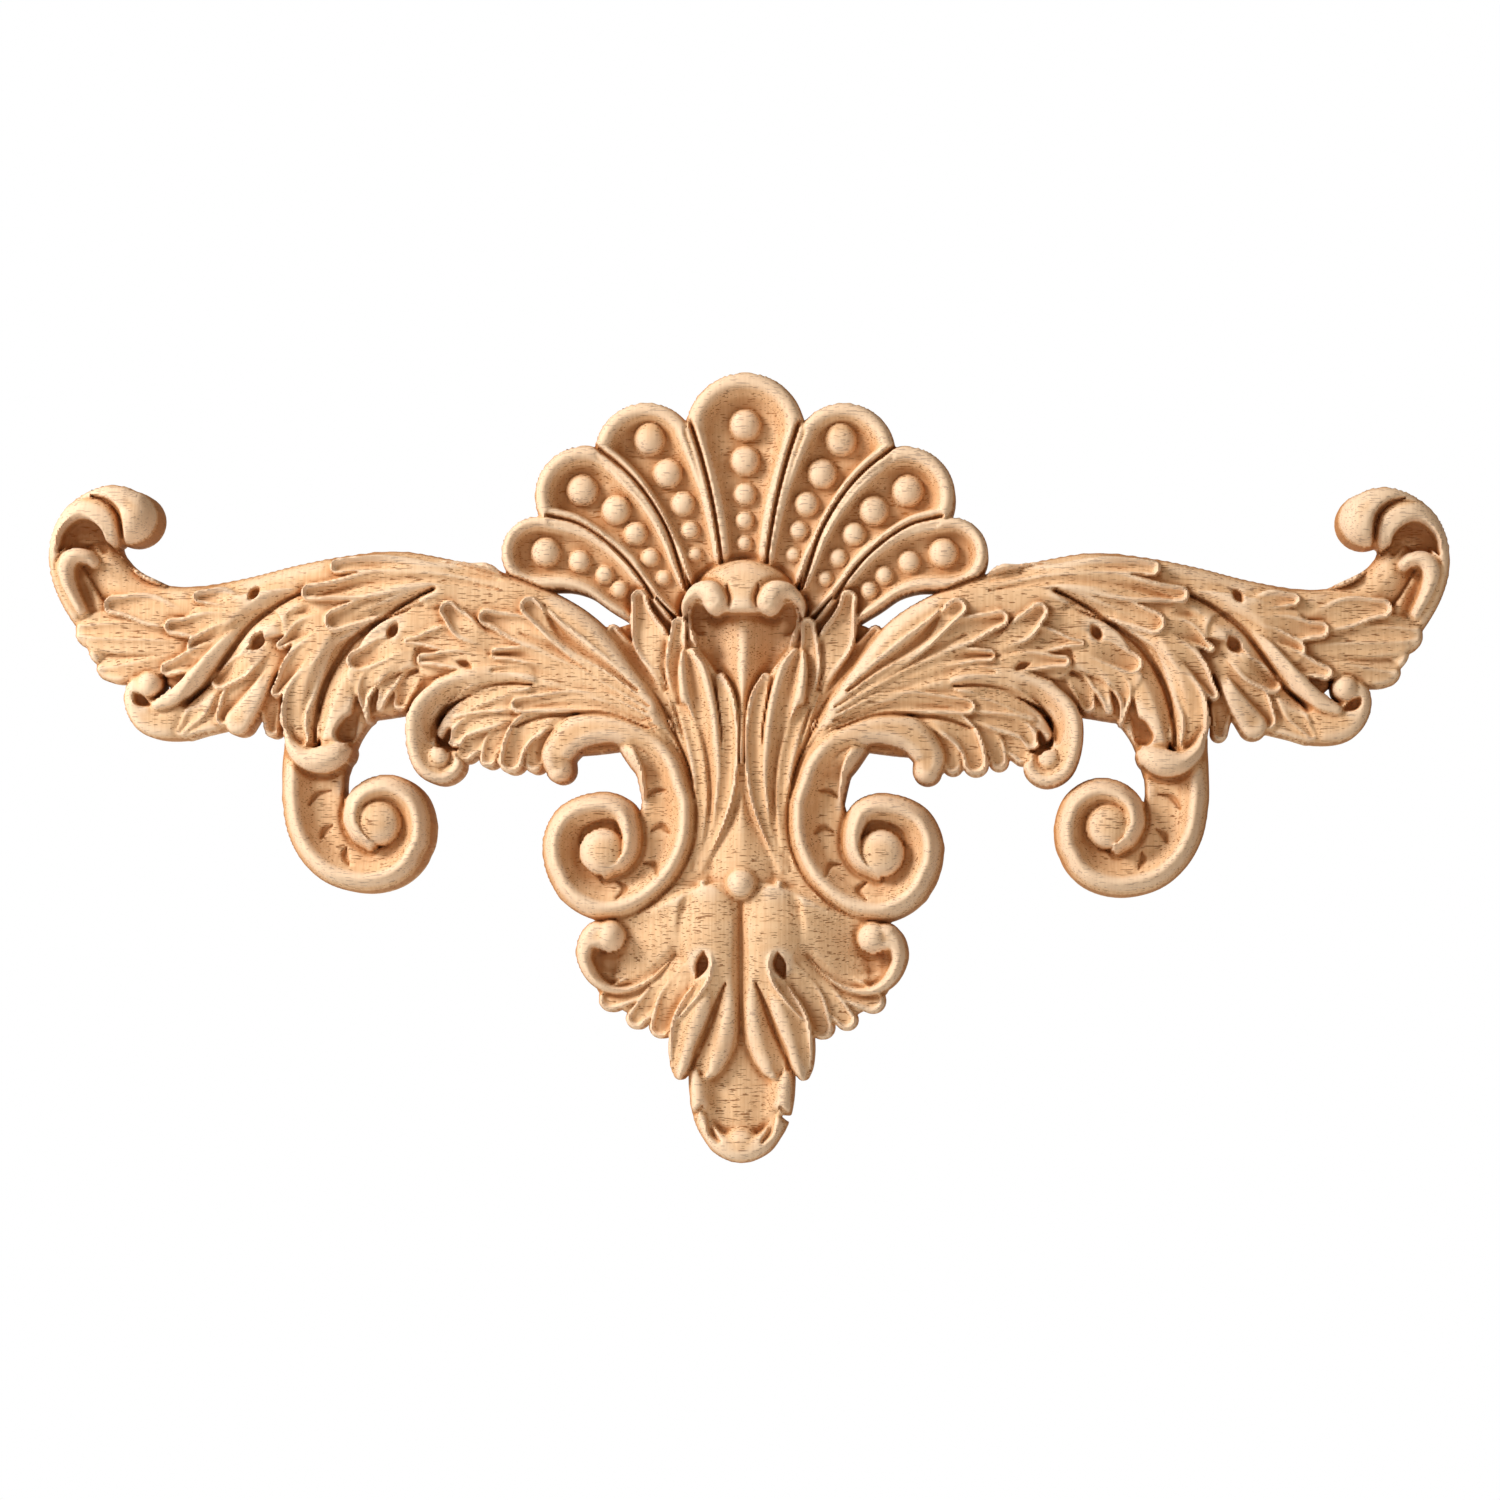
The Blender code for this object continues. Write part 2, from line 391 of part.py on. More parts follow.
def carve_inner_leaf(c):
    """The fluted leaf that springs from the inner scroll: lobes over its rib and a hanging curl."""
    c.stroke([(26, 13, 3.0, 14.2), (38, 15.4, 3.4, 13.4), (48, 15.4, 2.6, 12.8)])
    c.stroke([(20, 12, 3, 14.8), (32, 19.5, 5, 14.2), (44, 23, 6.5, 13.2), (56, 24.0, 5.0, 12.2),
              (62, 22, 4, 11.4)], crown=0.5)
    c.stroke([(44, 18, 3, 14.0), (54, 17.6, 3, 13.6), (60, 15.6, 3, 13.2)], crown=0.5)
    lobe(c, [(46, 24.4), (56, 26.2), (68.1, 25.4)], 3.3, (14.0, 13.4), blunt=0.3, dish=1.7, fade=0.8)
    lobe(c, [(46, 20.6), (57, 21.8), (65.4, 21.8)], 2.4, (14.0, 13.4), blunt=0.6, dish=1.8, fade=0.85)
    lobe(c, [(50, 24.5), (55.6, 28.2), (60.2, 33.2)], 3.0, (14.4, 15.0), blunt=0.7, dish=2.2, fade=0.7)
    lobe(c, [(34, 20.0), (43, 22.7), (50.6, 22.9)], 2.1, (14.8, 14.6), blunt=0.7, dish=1.8, fade=0.85)
    lobe(c, [(34, 22.6), (43.5, 27.4), (53.0, 30.8)], 3.3, (15.0, 15.2), blunt=0.6, dish=2.3, fade=0.75)
    lobe(c, [(18, 12.2), (27, 19.6), (36, 26.4), (44.2, 33.8)], 2.8, (16, 15.8), blunt=0.8, dish=2.1,
         fade=0.75)
    c.groove([(39.8, 32.4, 0.4), (36.6, 27.2, 1.1), (32, 23.4, 1.1), (27, 20.2, 0.8), (21, 15.6, 0.4)], 1.4)
    c.groove([(44.5, 27.0, 0.4), (38, 24.0, 1.2), (28, 18.6, 1.1), (18.6, 12.4, 0.3)], 0.8, 1.4)
    c.groove([(50.5, 22.9, 0.5), (44, 22.4, 1.3), (34, 19.2, 1.3), (19, 11.2, 0.3)], 0.8, 1.4)
    c.groove([(50.0, 19.6, 0.5), (42, 19.6, 1.3), (32, 16.4, 1.3), (18.2, 9.6, 0.3)], 0.9, 1.4)
    c.stroke([(54, 18.4, 1.5, 13.6), (60, 15.6, 2.6, 13.4), (63.9, 11.5, 3.1, 13.2), (64.6, 6.5, 3.1, 12.8),
              (63.2, 1.6, 3.1, 12.4), (60.6, -0.3, 2.8, 12), (58.5, 0.7, 2.6, 11.6), (58.0, 2.4, 1.7, 11)],
             across=[(-1, -3.0), (-0.6, -2.2), (-0.1, -1.0), (0.3, -0.1), (0.6, 0.1), (0.82, -0.5),
                     (1, -1.8)],
             root=0.25, moat=0.6)
    c.dome(61.0, 2.4, 2.2, 10.6, 12.1)
    c.stroke([(57.0, 21.4, 0.5, 11.8), (55.6, 20.9, 0.9, 10.8), (54.4, 20.2, 0.5, 11.8)], mode="dig",
             edge=0.5)


def carve_under_leaf(c):
    """The lobes under the rib, hanging over the gap, and the last one that hooks down."""
    c.stroke([(38, 10, 4.5, 12), (46, 9, 5, 11.2), (53, 8, 3.6, 9.8)])
    c.stroke([(54, 6, 2.6, 8.0), (57.6, 4.4, 2.4, 7.0), (60, 3.6, 2.0, 7.0)], mode="under")
    c.stroke([(44, 15.0, 1.6, 13.4), (49, 14.4, 2.2, 13.0), (54, 12.8, 2.6, 12.2), (57.8, 10.2, 2.5, 11.0),
              (60.2, 7.6, 2.0, 9.6)], root=0.3, edge=0.9)
    c.stroke([(58, 9, 3.0, 9.4), (60.6, 5.6, 2.4, 8.8), (60, 3.4, 2.0, 8.0)], mode="under")
    lobe(c, [(45, 10.5), (51, 7), (57.2, 2.1)], 2.5, (11.6, 10.2), blunt=0.8, dish=1.0, fade=0.75)
    lobe(c, [(43, 11), (49.4, 6), (51.5, 0.3)], 2.6, (12, 10.4), blunt=0.8, dish=1.2, fade=0.75)
    lobe(c, [(40, 12.2), (50, 10.2), (56, 8), (58.5, 4.4)], 2.5, (13, 11.2), blunt=0.8, dish=1.4, fade=0.75)
    lobe(c, [(30, 13.8), (42, 13.8), (51, 12.4), (58.4, 10.4)], 2.1, (14.8, 11.6), blunt=0.35, dish=1.6,
         fade=0.85)
    lobe(c, [(34, 10.4), (40, 6.4), (42.3, -0.7)], 2.7, (13.4, 11.2), blunt=0.8, dish=1.1, fade=0.75)
    lobe(c, [(28, 12.8), (38, 10.9), (44.6, 6.6), (47.0, -0.8)], 3.3, (14.6, 12.2), blunt=0.8, dish=2.1,
         fade=0.75)
    lobe(c, [(15, 8.5), (26, 12.8), (36, 13.4), (46.6, 12.6)], 2.7, (15.6, 13.6), blunt=0.7, dish=1.7,
         fade=0.85)
    c.stroke([(12.5, -3, 2.2, 15), (18, 5, 2.6, 15), (26, 8.2, 3.2, 14.8), (33, 7.4, 3.7, 14.2),
              (37.0, 3.4, 3.4, 13), (36.7, 0.1, 2.9, 11.6)], crown=0.3, root=0.2,
             lip=[(0, -2.0), (0.8, -0.7), (2, 0)], moat=0.7)
    c.groove([(46, 8.4, 0.3), (40, 10.4, 0.6), (33, 11.0, 0.6), (26, 10.6, 0.5), (19, 8, 0.3)], 1.2)
    c.groove([(44, 11.9, 0.4), (36, 12.6, 1.0), (27, 12.4, 1.0), (17, 8.2, 0.3)], 0.7, 1.4)
    vein(c, INNER_RIB, 2.2)
    c.stroke([(60.6, 4.8, 0.6, 6.4), (59.6, 6.0, 1.0, 5.0), (58.9, 7.8, 0.6, 6.4)], mode="dig", edge=0.6)


def carve_inner_volute(c):
    """The inner volute: the scroll's channel winds in to a domed eye."""
    c.stroke([(27.5, -15, 9, 11.2), (27.5, -17, 9, 11.2)])
    rim = [(0, -4.5), (1.0, -2.2), (2.0, -0.5), (2.9, 0.0), (3.8, -0.7), (5.2, -2.4), (7.5, -3.8), (14, -3.4)]
    c.stroke([(17.0, 10.5, 3.6, 15), (12.2, 3.5, 4.4, 15), (10.0, -2, 5.0, 15), (8.6, -8, 5.9, 15),
              (9.4, -16, 6.6, 15),
              (13.4, -23.5, 6.2, 15), (20, -28.8, 5.6, 15), (27.5, -30.4, 5.0, 15), (34.2, -27.8, 4.6, 15),
              (38.6, -22.3, 4.3, 15), (40.1, -16, 4.0, 15)],
             side=1, rim=rim, root=0.2, edge=0.7)
    c.stroke([(37.2, -24.7, 4.4, 15), (39.7, -19, 4.1, 15), (39.8, -13, 3.8, 15), (37.2, -8, 3.5, 15),
              (32.5, -5.2, 3.2, 15.2), (26.6, -4.5, 2.9, 15.4), (22.0, -6.7, 2.6, 15.5),
              (19.9, -11.5, 2.3, 15.6),
              (20.1, -16.8, 2.0, 15.5), (22.6, -20.4, 1.6, 15.3), (26.4, -22.2, 1.2, 15)],
             side=1, rim=rim, root=0.08, moat=0.8)
    c.dome(27.7, -16.6, 4.7, 12.4, 15.6)
    for rows in (((19, -5.4, 0.3), (17.4, -4.2, 0.7), (15.4, -4.2, 0.3)),
                 ((18.2, -12.4, 0.3), (16.2, -11.4, 0.9), (14.5, -12.8, 0.3)),
                 ((19.6, -18.8, 0.3), (17.6, -19.0, 0.8), (16.8, -21.4, 0.3)),
                 ((24.8, -22.4, 0.3), (23.3, -24, 0.8), (24.9, -26.0, 0.3))):
        c.groove(rows, 1.0)


SHELL_LOBES = (
    # each lobe from its foot to its head as (u, z, half width), then its beads as (u, z, radius)
    (((0, 40, 4.4), (0, 46, 5.0), (0, 54.5, 7.0), (0, 67.7, 12.0)),
     ((0, 69.2, 3.3), (0, 62, 3.1), (0, 55.3, 2.4), (0, 50, 2.0), (0, 45.4, 1.7))),
    (((5, 31, 2.2), (7.6, 38, 3.6), (9.7, 45.5, 4.8), (13.6, 54.8, 7.0), (19.8, 63.2, 10.4)),
     ((19.2, 66.2, 3.3), (15.5, 59.4, 3.1), (12.4, 53.3, 2.6), (10.9, 48, 2.0), (9.8, 43.1, 1.6))),
    (((9, 29, 2.2), (14, 35, 3.2), (17, 39.8, 4.1), (19.8, 44.9, 5.1), (24.2, 49.9, 6.8), (32.0, 54.8, 10.1)),
     ((32.6, 56, 3.3), (25.8, 52, 3.1), (21.9, 47.3, 2.5), (18.8, 42.5, 2.0), (16.2, 38.4, 1.7))),
    (((13, 25, 2.6), (20.5, 32.4, 3.8), (24.5, 36, 4.7), (28.8, 39.8, 5.5), (34.3, 42.5, 6.6),
      (41.3, 43.3, 7.4)),
     ((39.8, 43.5, 3.1), (33, 41.7, 2.4), (28, 39, 2.0), (25, 36.1, 1.9))),
)
SHELL_GROOVES = (
    ((10.9, 69.6), (8.5, 62), (6.5, 54), (5.1, 46), (4.4, 40.5)),
    ((29.8, 64.6), (24, 60), (20, 55.5), (16.5, 50), (14.3, 45), (11.7, 36.5)),
    ((39.4, 50.8), (33.5, 49.3), (28.5, 46.3), (24, 42.3), (20.5, 38), (18.3, 34.5)),
)
SHELL_RIM = [(0, -4.2), (0.35, -4.0), (0.55, -3.1), (0.69, -1.0), (0.80, 0.0), (0.91, -0.2), (1.0, -1.2)]

TWIN_RIM = [(-1, -1.6), (-0.6, -0.1), (-0.3, 0.0), (0, -0.8), (0.3, 0.0), (0.6, -0.1), (1, -1.6)]


def carve_shell(c):
    """Seven lobes with raised rims round sunk faces, and a row of beads on each."""
    c.stroke([(0, 40, 17, 7.5), (0, 49, 22, 8)])
    c.stroke([(12, 26, 5, 8), (19, 32, 4.5, 8), (28, 42, 5, 8)])
    for path, beads in SHELL_LOBES:
        last = len(path) - 1
        c.stroke([(u, z, half, 12.0 + 1.2 * k / last) for k, (u, z, half) in enumerate(path)],
                 bowl_section=SHELL_RIM, edge=0.7)
    for path in SHELL_GROOVES:
        rows = [(u, z, 2.3 - 0.25 * k, 13.0 - 0.3 * k) for k, (u, z) in enumerate(path)]
        rows[0] = tuple(0.72 * a + 0.28 * b for a, b in zip(rows[0], rows[1]))
        c.stroke(rows, across=TWIN_RIM, edge=0.9)
        c.groove([(u, z, 0.5) for u, z in path], 1.6)
    for path, beads in SHELL_LOBES:
        for u, z, radius in beads:
            c.bead(u, z, radius)


def carve_hood(c):
    """The hood under the shell: a dome whose two ends curl under, over a fluted throat."""
    c.stroke([(0, 30.2, 12.3, 18.2), (0, 28.5, 12.3, 18.2)],
             bowl_section=[(0, 0), (0.3, -0.3), (0.55, -1.3), (0.75, -3.2), (0.9, -6.0), (1.0, -9.0)],
             moat=1.2)
    c.stroke([(0, 34, 11.5, 9.4), (0, 24, 9.0, 10.0), (0, 14, 5.5, 11.6), (0, 5, 2.4, 13.4),
              (0, 2, 1.2, 13.9)],
             across=[(-1, 1.2), (-0.62, -1.8), (-0.3, 0.2), (0, 2.2), (0.3, 0.2), (0.62, -1.8), (1, 1.2)],
             below=31.6)
    c.groove([(3.2, 36.8, 0.2), (2.8, 34.4, 0.6), (3.0, 31.4, 0.6)], 1.1)
    c.stroke([(12.0, 30.4, 0.6, 13.4), (11.5, 33.2, 1.1, 15.4), (9.2, 35.4, 1.8, 17.2),
              (6.6, 35.2, 2.5, 18.4),
              (5.3, 33.6, 2.7, 18.6), (5.3, 33.0, 2.6, 18.2)], crown=0.5,
             lip=[(0, -2.4), (0.8, -0.8), (1.8, 0)], moat=0.8)
    c.stroke([(9.4, 32.6, 0.7, 9.0), (9.0, 31.4, 1.7, 7.8), (8.2, 29.2, 2.6, 8.0)], mode="dig", edge=0.6)


def carve_centre_leaves(c):
    """Tall leaves that rise in a sheaf from the bead and part under the hood."""
    c.stroke([(8, -20.2, 1.2, 13), (6.2, -13, 2.6, 13.5), (5.2, -4, 4.2, 13.6), (6.2, 6, 5.4, 13.2),
              (9, 15, 5.5, 12.6), (12.5, 22, 4.4, 12)], lip=SOFT)
    lobe(c, [(13, 10), (20, 20.5), (27.2, 28.9)], 2.3, (12.6, 11.2), neck=0.5, blunt=0.6, dish=1.5, edge=0.7)
    lobe(c, [(13.0, 12), (16.2, 21), (19.6, 28.4), (21.4, 36.2)], 4.1, (13.2, 12.6), dish=2.2, moat=0.9)
    lobe(c, [(10.0, 4), (12.2, 15), (13.3, 23.5), (12.7, 30.7)], 2.9, (13.8, 13.2), neck=0.5, blunt=0.6,
         dish=1.7,
         moat=0.9)
    lobe(c, [(7.5, -6), (9.4, 2), (12.4, 9.4), (15.2, 16.0)], 1.9, (14.6, 13.2), neck=0.6, blunt=0.6,
         dish=1.2,
         edge=0.8, moat=0.2)
    c.stroke([(6.8, -12, 1.4, 14.4), (6.4, -2, 2.6, 14.8), (8.0, 9, 3.8, 15), (9.7, 18, 3.4, 14.6),
              (10.9, 22.6, 1.9, 13.8)],
             across=[(-1, 0.4), (-0.6, 0.4), (-0.1, -1.6), (0.4, -0.6), (0.7, 0.4), (1, 0.3)],
             lip=SOFT, moat=0.5, root=0.15)
    c.stroke([(7.3, -18.4, 0.7, 13.8), (4.5, -10.9, 1.4, 14.4), (3.1, -4.8, 2.0, 14.8), (2.5, 0.5, 2.1, 15),
              (2.4, 8, 2.0, 15), (3.2, 14, 2.0, 14.6), (4.5, 18.4, 1.2, 13.6)],
             across=[(-1, 0.3), (-0.4, -1.0), (0.3, -0.8), (0.7, 0.4), (1, 0.4)], lip=SOFT, moat=0.4,
             root=0.15)
    c.stroke([(9.8, -19.8, 1.0, 13), (8.6, -12, 1.6, 13.8), (8.3, -4, 1.8, 14), (9.6, 5, 1.9, 14),
              (12, 12, 1.4, 13.4)], across=[(-1, 0.3), (0, -0.8), (1, 0.3)], lip=SOFT, root=0.2, moat=0.5)


def carve_key(c):
    """The plain triangle between the sheaf's stems."""
    c.stroke([(0, 4, 2.0, 13.9), (0, -12, 4.5, 13.2), (0, -21, 8.5, 12.6)], mode="under")
    c.stroke([(0, -3.6, 0.4, 13.0), (0, -10, 2.4, 13.6), (0, -16, 4.8, 14.0), (0, -21.0, 6.9, 14.2)],
             across=[(-1, -2.2), (-0.8, -1.2), (-0.4, -0.1), (0, 0.4), (0.4, -0.1), (0.8, -1.2), (1, -2.2)],
             edge=0.8)


LEFT_RIM = [(-1, -2.0), (-0.6, -0.3), (-0.15, 0.2), (0.35, -0.8), (0.66, -1.1), (0.86, 0.2), (1, -0.5)]


def carve_bottom_leaf(c):
    """Two swelling halves that end in curls and lobes, parted by a narrow middle line."""
    c.stroke([(9.4, -19, 2.6, 12.6), (11, -24, 4.0, 12.6), (13, -28, 5.0, 12.6)], mode="under")
    c.stroke([(4, -28, 5.6, 14.2), (6, -34, 8, 14.0), (6, -44, 7, 12.2), (5.5, -53, 5.2, 10.6)])
    c.stroke([(12, -28, 5, 13), (17, -33.4, 8, 12.6), (22, -36.8, 8.0, 11.2), (24.4, -37.0, 7.6, 10.0)])
    c.stroke([(26.8, -43.0, 2.4, 9.4), (22.6, -45.8, 2.6, 9.6), (17.4, -48.2, 2.8, 9.8),
              (12, -50.6, 2.8, 10)])
    lobe(c, [(12, -36), (20, -42.6), (28.4, -47.0)], 3.3, (12.2, 10.4), fade=0.6, dish=1.3, blunt=0.8)
    lobe(c, [(11, -37), (16.5, -44.5), (22.4, -51.4)], 2.8, (12.4, 10.4), fade=0.6, dish=1.3, blunt=0.8)
    lobe(c, [(10, -38), (14, -46), (16.9, -53.6)], 3.1, (12.6, 10.6), fade=0.6, dish=1.5, blunt=0.8)
    c.stroke([(7.2, -26.4, 4.0, 15.2), (11.6, -30, 6.0, 15.0), (16.5, -33.6, 7.0, 13.2),
              (21.6, -36.2, 6.6, 10.6),
              (25.0, -37.0, 5.4, 8.2)], across=[(-1, -0.8), (-0.5, -0.3), (0, 0), (0.5, -0.2), (1, 0.4)],
              edge=2.4)
    c.stroke([(12.8, -37.4, 0.5, 12.4), (16.6, -41.8, 0.8, 11.8), (21.6, -44.6, 0.9, 11.4),
              (26.4, -44.9, 1.1, 11.8),
              (30.8, -42.3, 1.5, 12.6), (33.1, -37.5, 1.9, 13.6), (32.4, -33.1, 2.6, 14),
              (29.8, -30.5, 2.9, 14.2),
              (27.4, -30.4, 2.4, 14.4)], side=1, lip=[(0, -2.6), (0.7, -0.8), (1.5, 0)], crown=0.3, moat=0.8)
    c.dome(26.3, -33.2, 3.3, 11.0, 15.4)
    c.stroke([(29.2, -36.2, 1.2, 8.4), (28.4, -38.0, 2.0, 8.0), (26.4, -38.2, 1.6, 8.4)], mode="dig",
             edge=1.8)
    c.stroke([(6.6, -28.8, 6.3, 15.2), (6.7, -32, 6.5, 15.6), (6.0, -37, 5.7, 15.0), (4.8, -43, 4.5, 13.8),
              (4.0, -49, 3.8, 12.4), (3.8, -54, 3.4, 11.2)],
             across=[(-1, -1.4), (-0.85, -0.7), (-0.55, 0), (-0.1, 0.4), (0.4, -0.2), (1, -2.0)], edge=1.6)
    c.stroke([(2.4, -40, 1.8, 13.9), (2.8, -46, 2.7, 13.5), (3.8, -51.4, 3.5, 12.6), (5.0, -55.2, 3.9, 11.6),
              (6.0, -58.0, 3.3, 11.0), (6.5, -59.8, 2.2, 10.4)], across=LEFT_RIM, root=0.5, moat=0.2,
              lip=SOFT)
    c.stroke([(6.3, -41.4, 1.6, 14.8), (7.9, -45.4, 3.0, 14.4), (9.9, -50.2, 3.9, 13.4),
              (11.1, -54.6, 3.4, 12.2),
              (11.9, -58.4, 2.4, 11.2), (12.3, -60.8, 1.2, 10.6)], across=LEFT_RIM, root=0.3, moat=0.15,
              lip=SOFT)
    c.groove([(3.0, -42.6, 0.3), (5.0, -47.6, 0.7), (6.9, -52.0, 0.9), (8.7, -56.0, 0.9),
              (9.6, -59.6, 0.6)], 1.4)
    c.groove([(0, -25, 0.6), (0, -33, 0.7), (0, -42, 0.6), (0, -50, 0.3)], 1.0)
    c.stroke([(7.4, -36.6, 0.4, 11), (7.7, -39.0, 1.5, 9.8), (8.6, -41.4, 0.6, 11)], mode="dig", edge=0.7)
    c.stroke([(6.6, -35.4, 0.3, 15.0), (5.7, -38.2, 0.6, 15.4), (6.3, -42, 0.7, 15.2), (9.0, -46, 0.6, 14.2),
              (12.2, -49.6, 0.5, 12.8)], crown=0.5, edge=0.6)


def carve_drop(c):
    """The drop at the foot: a hollow channel between two rims, with a small basin at its end."""
    c.stroke([(0, -50, 10.4, 10.6), (0, -60, 10.6, 10.4), (0, -66, 10.2, 10.0), (0, -69.4, 8.6, 9.4),
              (0, -73, 5.4, 8.8)],
             across=[(-1, -2.0), (-0.92, -0.5), (-0.82, 0), (-0.7, -0.5), (-0.5, -2.3), (-0.36, -2.4),
                     (0, -1.7),
                     (0.36, -2.4), (0.5, -2.3), (0.7, -0.5), (0.82, 0), (0.92, -0.5), (1, -2.0)])
    c.stroke([(9.7, -67.4, 1.0, 8.6), (9.3, -69.6, 1.5, 9.2), (8.1, -72.8, 1.8, 9.7), (5.8, -76.2, 2.3, 9.9),
              (2.4, -78.2, 2.7, 9.9), (-1, -78.7, 2.8, 9.9)], side=-1,
             lip=[(0, -2.4), (0.8, -0.8), (1.8, 0)], root=0.15, moat=0.8)
    c.stroke([(6.5, -69.0, 0.8, 7.7), (5.8, -72.2, 1.2, 7.4), (4.4, -74.2, 0.8, 7.6)], mode="dig", edge=1.2)
    c.dome(0, -74.9, 3.7, 6.8, 10.0)
    c.groove([(10.8, -68.7, 0.5), (9.2, -68.5, 0.7), (7.8, -67.2, 0.4)], 1.5)
    c.chip([(11.0, -69.8, 0.8), (9.6, -69.7, 0.7), (8.2, -69.2, 0.3)])


def carve(x, z):
    """The whole front, from what lies lowest to what lies on top."""
    c = Carving(x, z)
    carve_shell(c)
    carve_drop(c)
    carve_ground(c)
    carve_end_curl(c)
    carve_arm(c)
    carve_small_curl(c)
    carve_outer_hand(c)
    carve_hook(c)
    carve_fore_leaf(c)
    carve_outer_volute(c)
    carve_big_leaf(c)
    carve_cross_leaf(c)
    carve_inner_leaf(c)
    carve_under_leaf(c)
    carve_hood(c)
    carve_centre_leaves(c)
    carve_key(c)
    carve_bottom_leaf(c)
    carve_inner_volute(c)
    c.dome(0, -22.9, 3.5, 12.6, 17.4)
    c.height = np.maximum(c.height - 0.8 * (1.0 - smooth(c.inside / 0.8)), LEAST_WOOD)
    return c


def clear_scene():
    for old in list(bpy.data.objects):
        bpy.data.objects.remove(old, do_unlink=True)


def wood_material():
    material = bpy.data.materials.new("pale_wood")
    material.use_nodes = True
    shader = material.node_tree.nodes["Principled BSDF"]
    shader.inputs["Base Color"].default_value = WOOD_COLOR
    shader.inputs["Roughness"].default_value = WOOD_ROUGHNESS
    shader.inputs["Metallic"].default_value = 0.0
    return material


def board_grid():
    """A flat grid over the whole board, in millimetres: x across, y up."""
    across = int(round(WIDTH / CELL))
    up = int(round((TOP - FOOT) / CELL))
    bpy.ops.mesh.primitive_grid_add(x_subdivisions=across, y_subdivisions=up, size=1.0)
    board = bpy.context.active_object
    board.name = NODE
    board.data.name = NODE
    for vertex in board.data.vertices:
        vertex.co.x *= WIDTH
        vertex.co.y = FOOT + (vertex.co.y + 0.5) * (TOP - FOOT)
    return board


def read_points(bm):
    points = np.array([vertex.co[:] for vertex in bm.verts])
    return points[:, 0], points[:, 1]


def onto_outline(bm):
    """Slide the grid points that lie close to the outline onto it, so no sliver is cut there."""
    for step in range(2):
        x, z = read_points(bm)
        here = carve(x, z).inside
        nudge = 0.05
        slope_x = (carve(x + nudge, z).inside - here) / nudge
        slope_z = (carve(x, z + nudge).inside - here) / nudge
        steep = slope_x ** 2 + slope_z ** 2
        close = (np.abs(here) < 0.42 * CELL) & (steep > 0.3)
        for k in np.nonzero(close)[0]:
            bm.verts[k].co.x -= here[k] * slope_x[k] / steep[k]
            bm.verts[k].co.y -= here[k] * slope_z[k] / steep[k]


def cut_outline(bm):
    """Lift every point by its distance inside the outline, and cut the sheet off at zero."""
    onto_outline(bm)
    bm.verts.ensure_lookup_table()
    x, z = read_points(bm)
    inside = carve(x, z).inside
    inside[np.abs(inside) < 0.03 * CELL] = 0.0
    for vertex, far in zip(bm.verts, inside):
        vertex.co.z = far
    everything = bm.verts[:] + bm.edges[:] + bm.faces[:]
    bmesh.ops.bisect_plane(bm, geom=everything, dist=1e-6, plane_co=(0, 0, 0), plane_no=(0, 0, 1),
                           clear_inner=True)
    bmesh.ops.triangulate(bm, faces=bm.faces[:])


def give_depth(bm):
    """Make the sheet a body: the front raised to the carving's height, the back flat at y = 0."""
    grown = bmesh.ops.extrude_face_region(bm, geom=bm.faces[:])["geom"]
    lifted = {item for item in grown if isinstance(item, bmesh.types.BMVert)}
    bm.verts.ensure_lookup_table()
    x, z = read_points(bm)
    rise = carve(x, z).height
    for k, vertex in enumerate(bm.verts):
        vertex.co = (x[k] * MM, -rise[k] * MM if vertex in lifted else 0.0, z[k] * MM)
    bmesh.ops.recalc_face_normals(bm, faces=bm.faces[:])


def thin_out(board):
    """Bring the facets down to the number wanted, and lay the back exactly flat again."""
    count = sum(len(face.vertices) - 2 for face in board.data.polygons)
    thin = board.modifiers.new("fewer_facets", 'DECIMATE')
    thin.ratio = TRIANGLES / count
    thin.use_collapse_triangulate = True
    graph = bpy.context.evaluated_depsgraph_get()
    mesh = bpy.data.meshes.new_from_object(board.evaluated_get(graph))
    board.modifiers.remove(thin)
    old = board.data
    board.data = mesh
    bpy.data.meshes.remove(old)
    mesh.name = NODE
    bm = bmesh.new()
    bm.from_mesh(mesh)
    bmesh.ops.delete(bm, geom=[edge for edge in bm.edges if edge.is_wire], context='EDGES')
    for vertex in bm.verts:
        if vertex.co.y > -0.5 * LEAST_WOOD * MM:
            vertex.co.y = 0.0
    bm.to_mesh(mesh)
    bm.free()


def main():
    clear_scene()
    home = bpy.data.collections.new("carved_applique")
    bpy.context.scene.collection.children.link(home)
    board = board_grid()
    for collection in list(board.users_collection):
        collection.objects.unlink(board)
    home.objects.link(board)
    bm = bmesh.new()
    bm.from_mesh(board.data)
    bm.verts.ensure_lookup_table()
    cut_outline(bm)
    give_depth(bm)
    bm.to_mesh(board.data)
    bm.free()
    thin_out(board)
    board.data.materials.clear()
    board.data.materials.append(wood_material())
    board.data.shade_smooth()
    board.data.set_sharp_from_angle(angle=0.6)


main()
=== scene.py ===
"""Carved wood applique: a shell over two leafy scroll arms, cut from one board with a flat back.

The carving is one surface y = -height(x, z), cut off where the point leaves the outline. It is laid
down as strokes, each a smooth path with its half width and its height, from the lowest ground to the
topmost leaf. Points are (u, z, half width, height) in millimetres: u is the distance from the mirror
line, z is up and height is measured from the flat back. The front faces -Y.
"""
import math

import bmesh
import bpy
import numpy as np
from bpy.props import FloatProperty, FloatVectorProperty, IntProperty, PointerProperty
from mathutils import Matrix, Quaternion, Vector


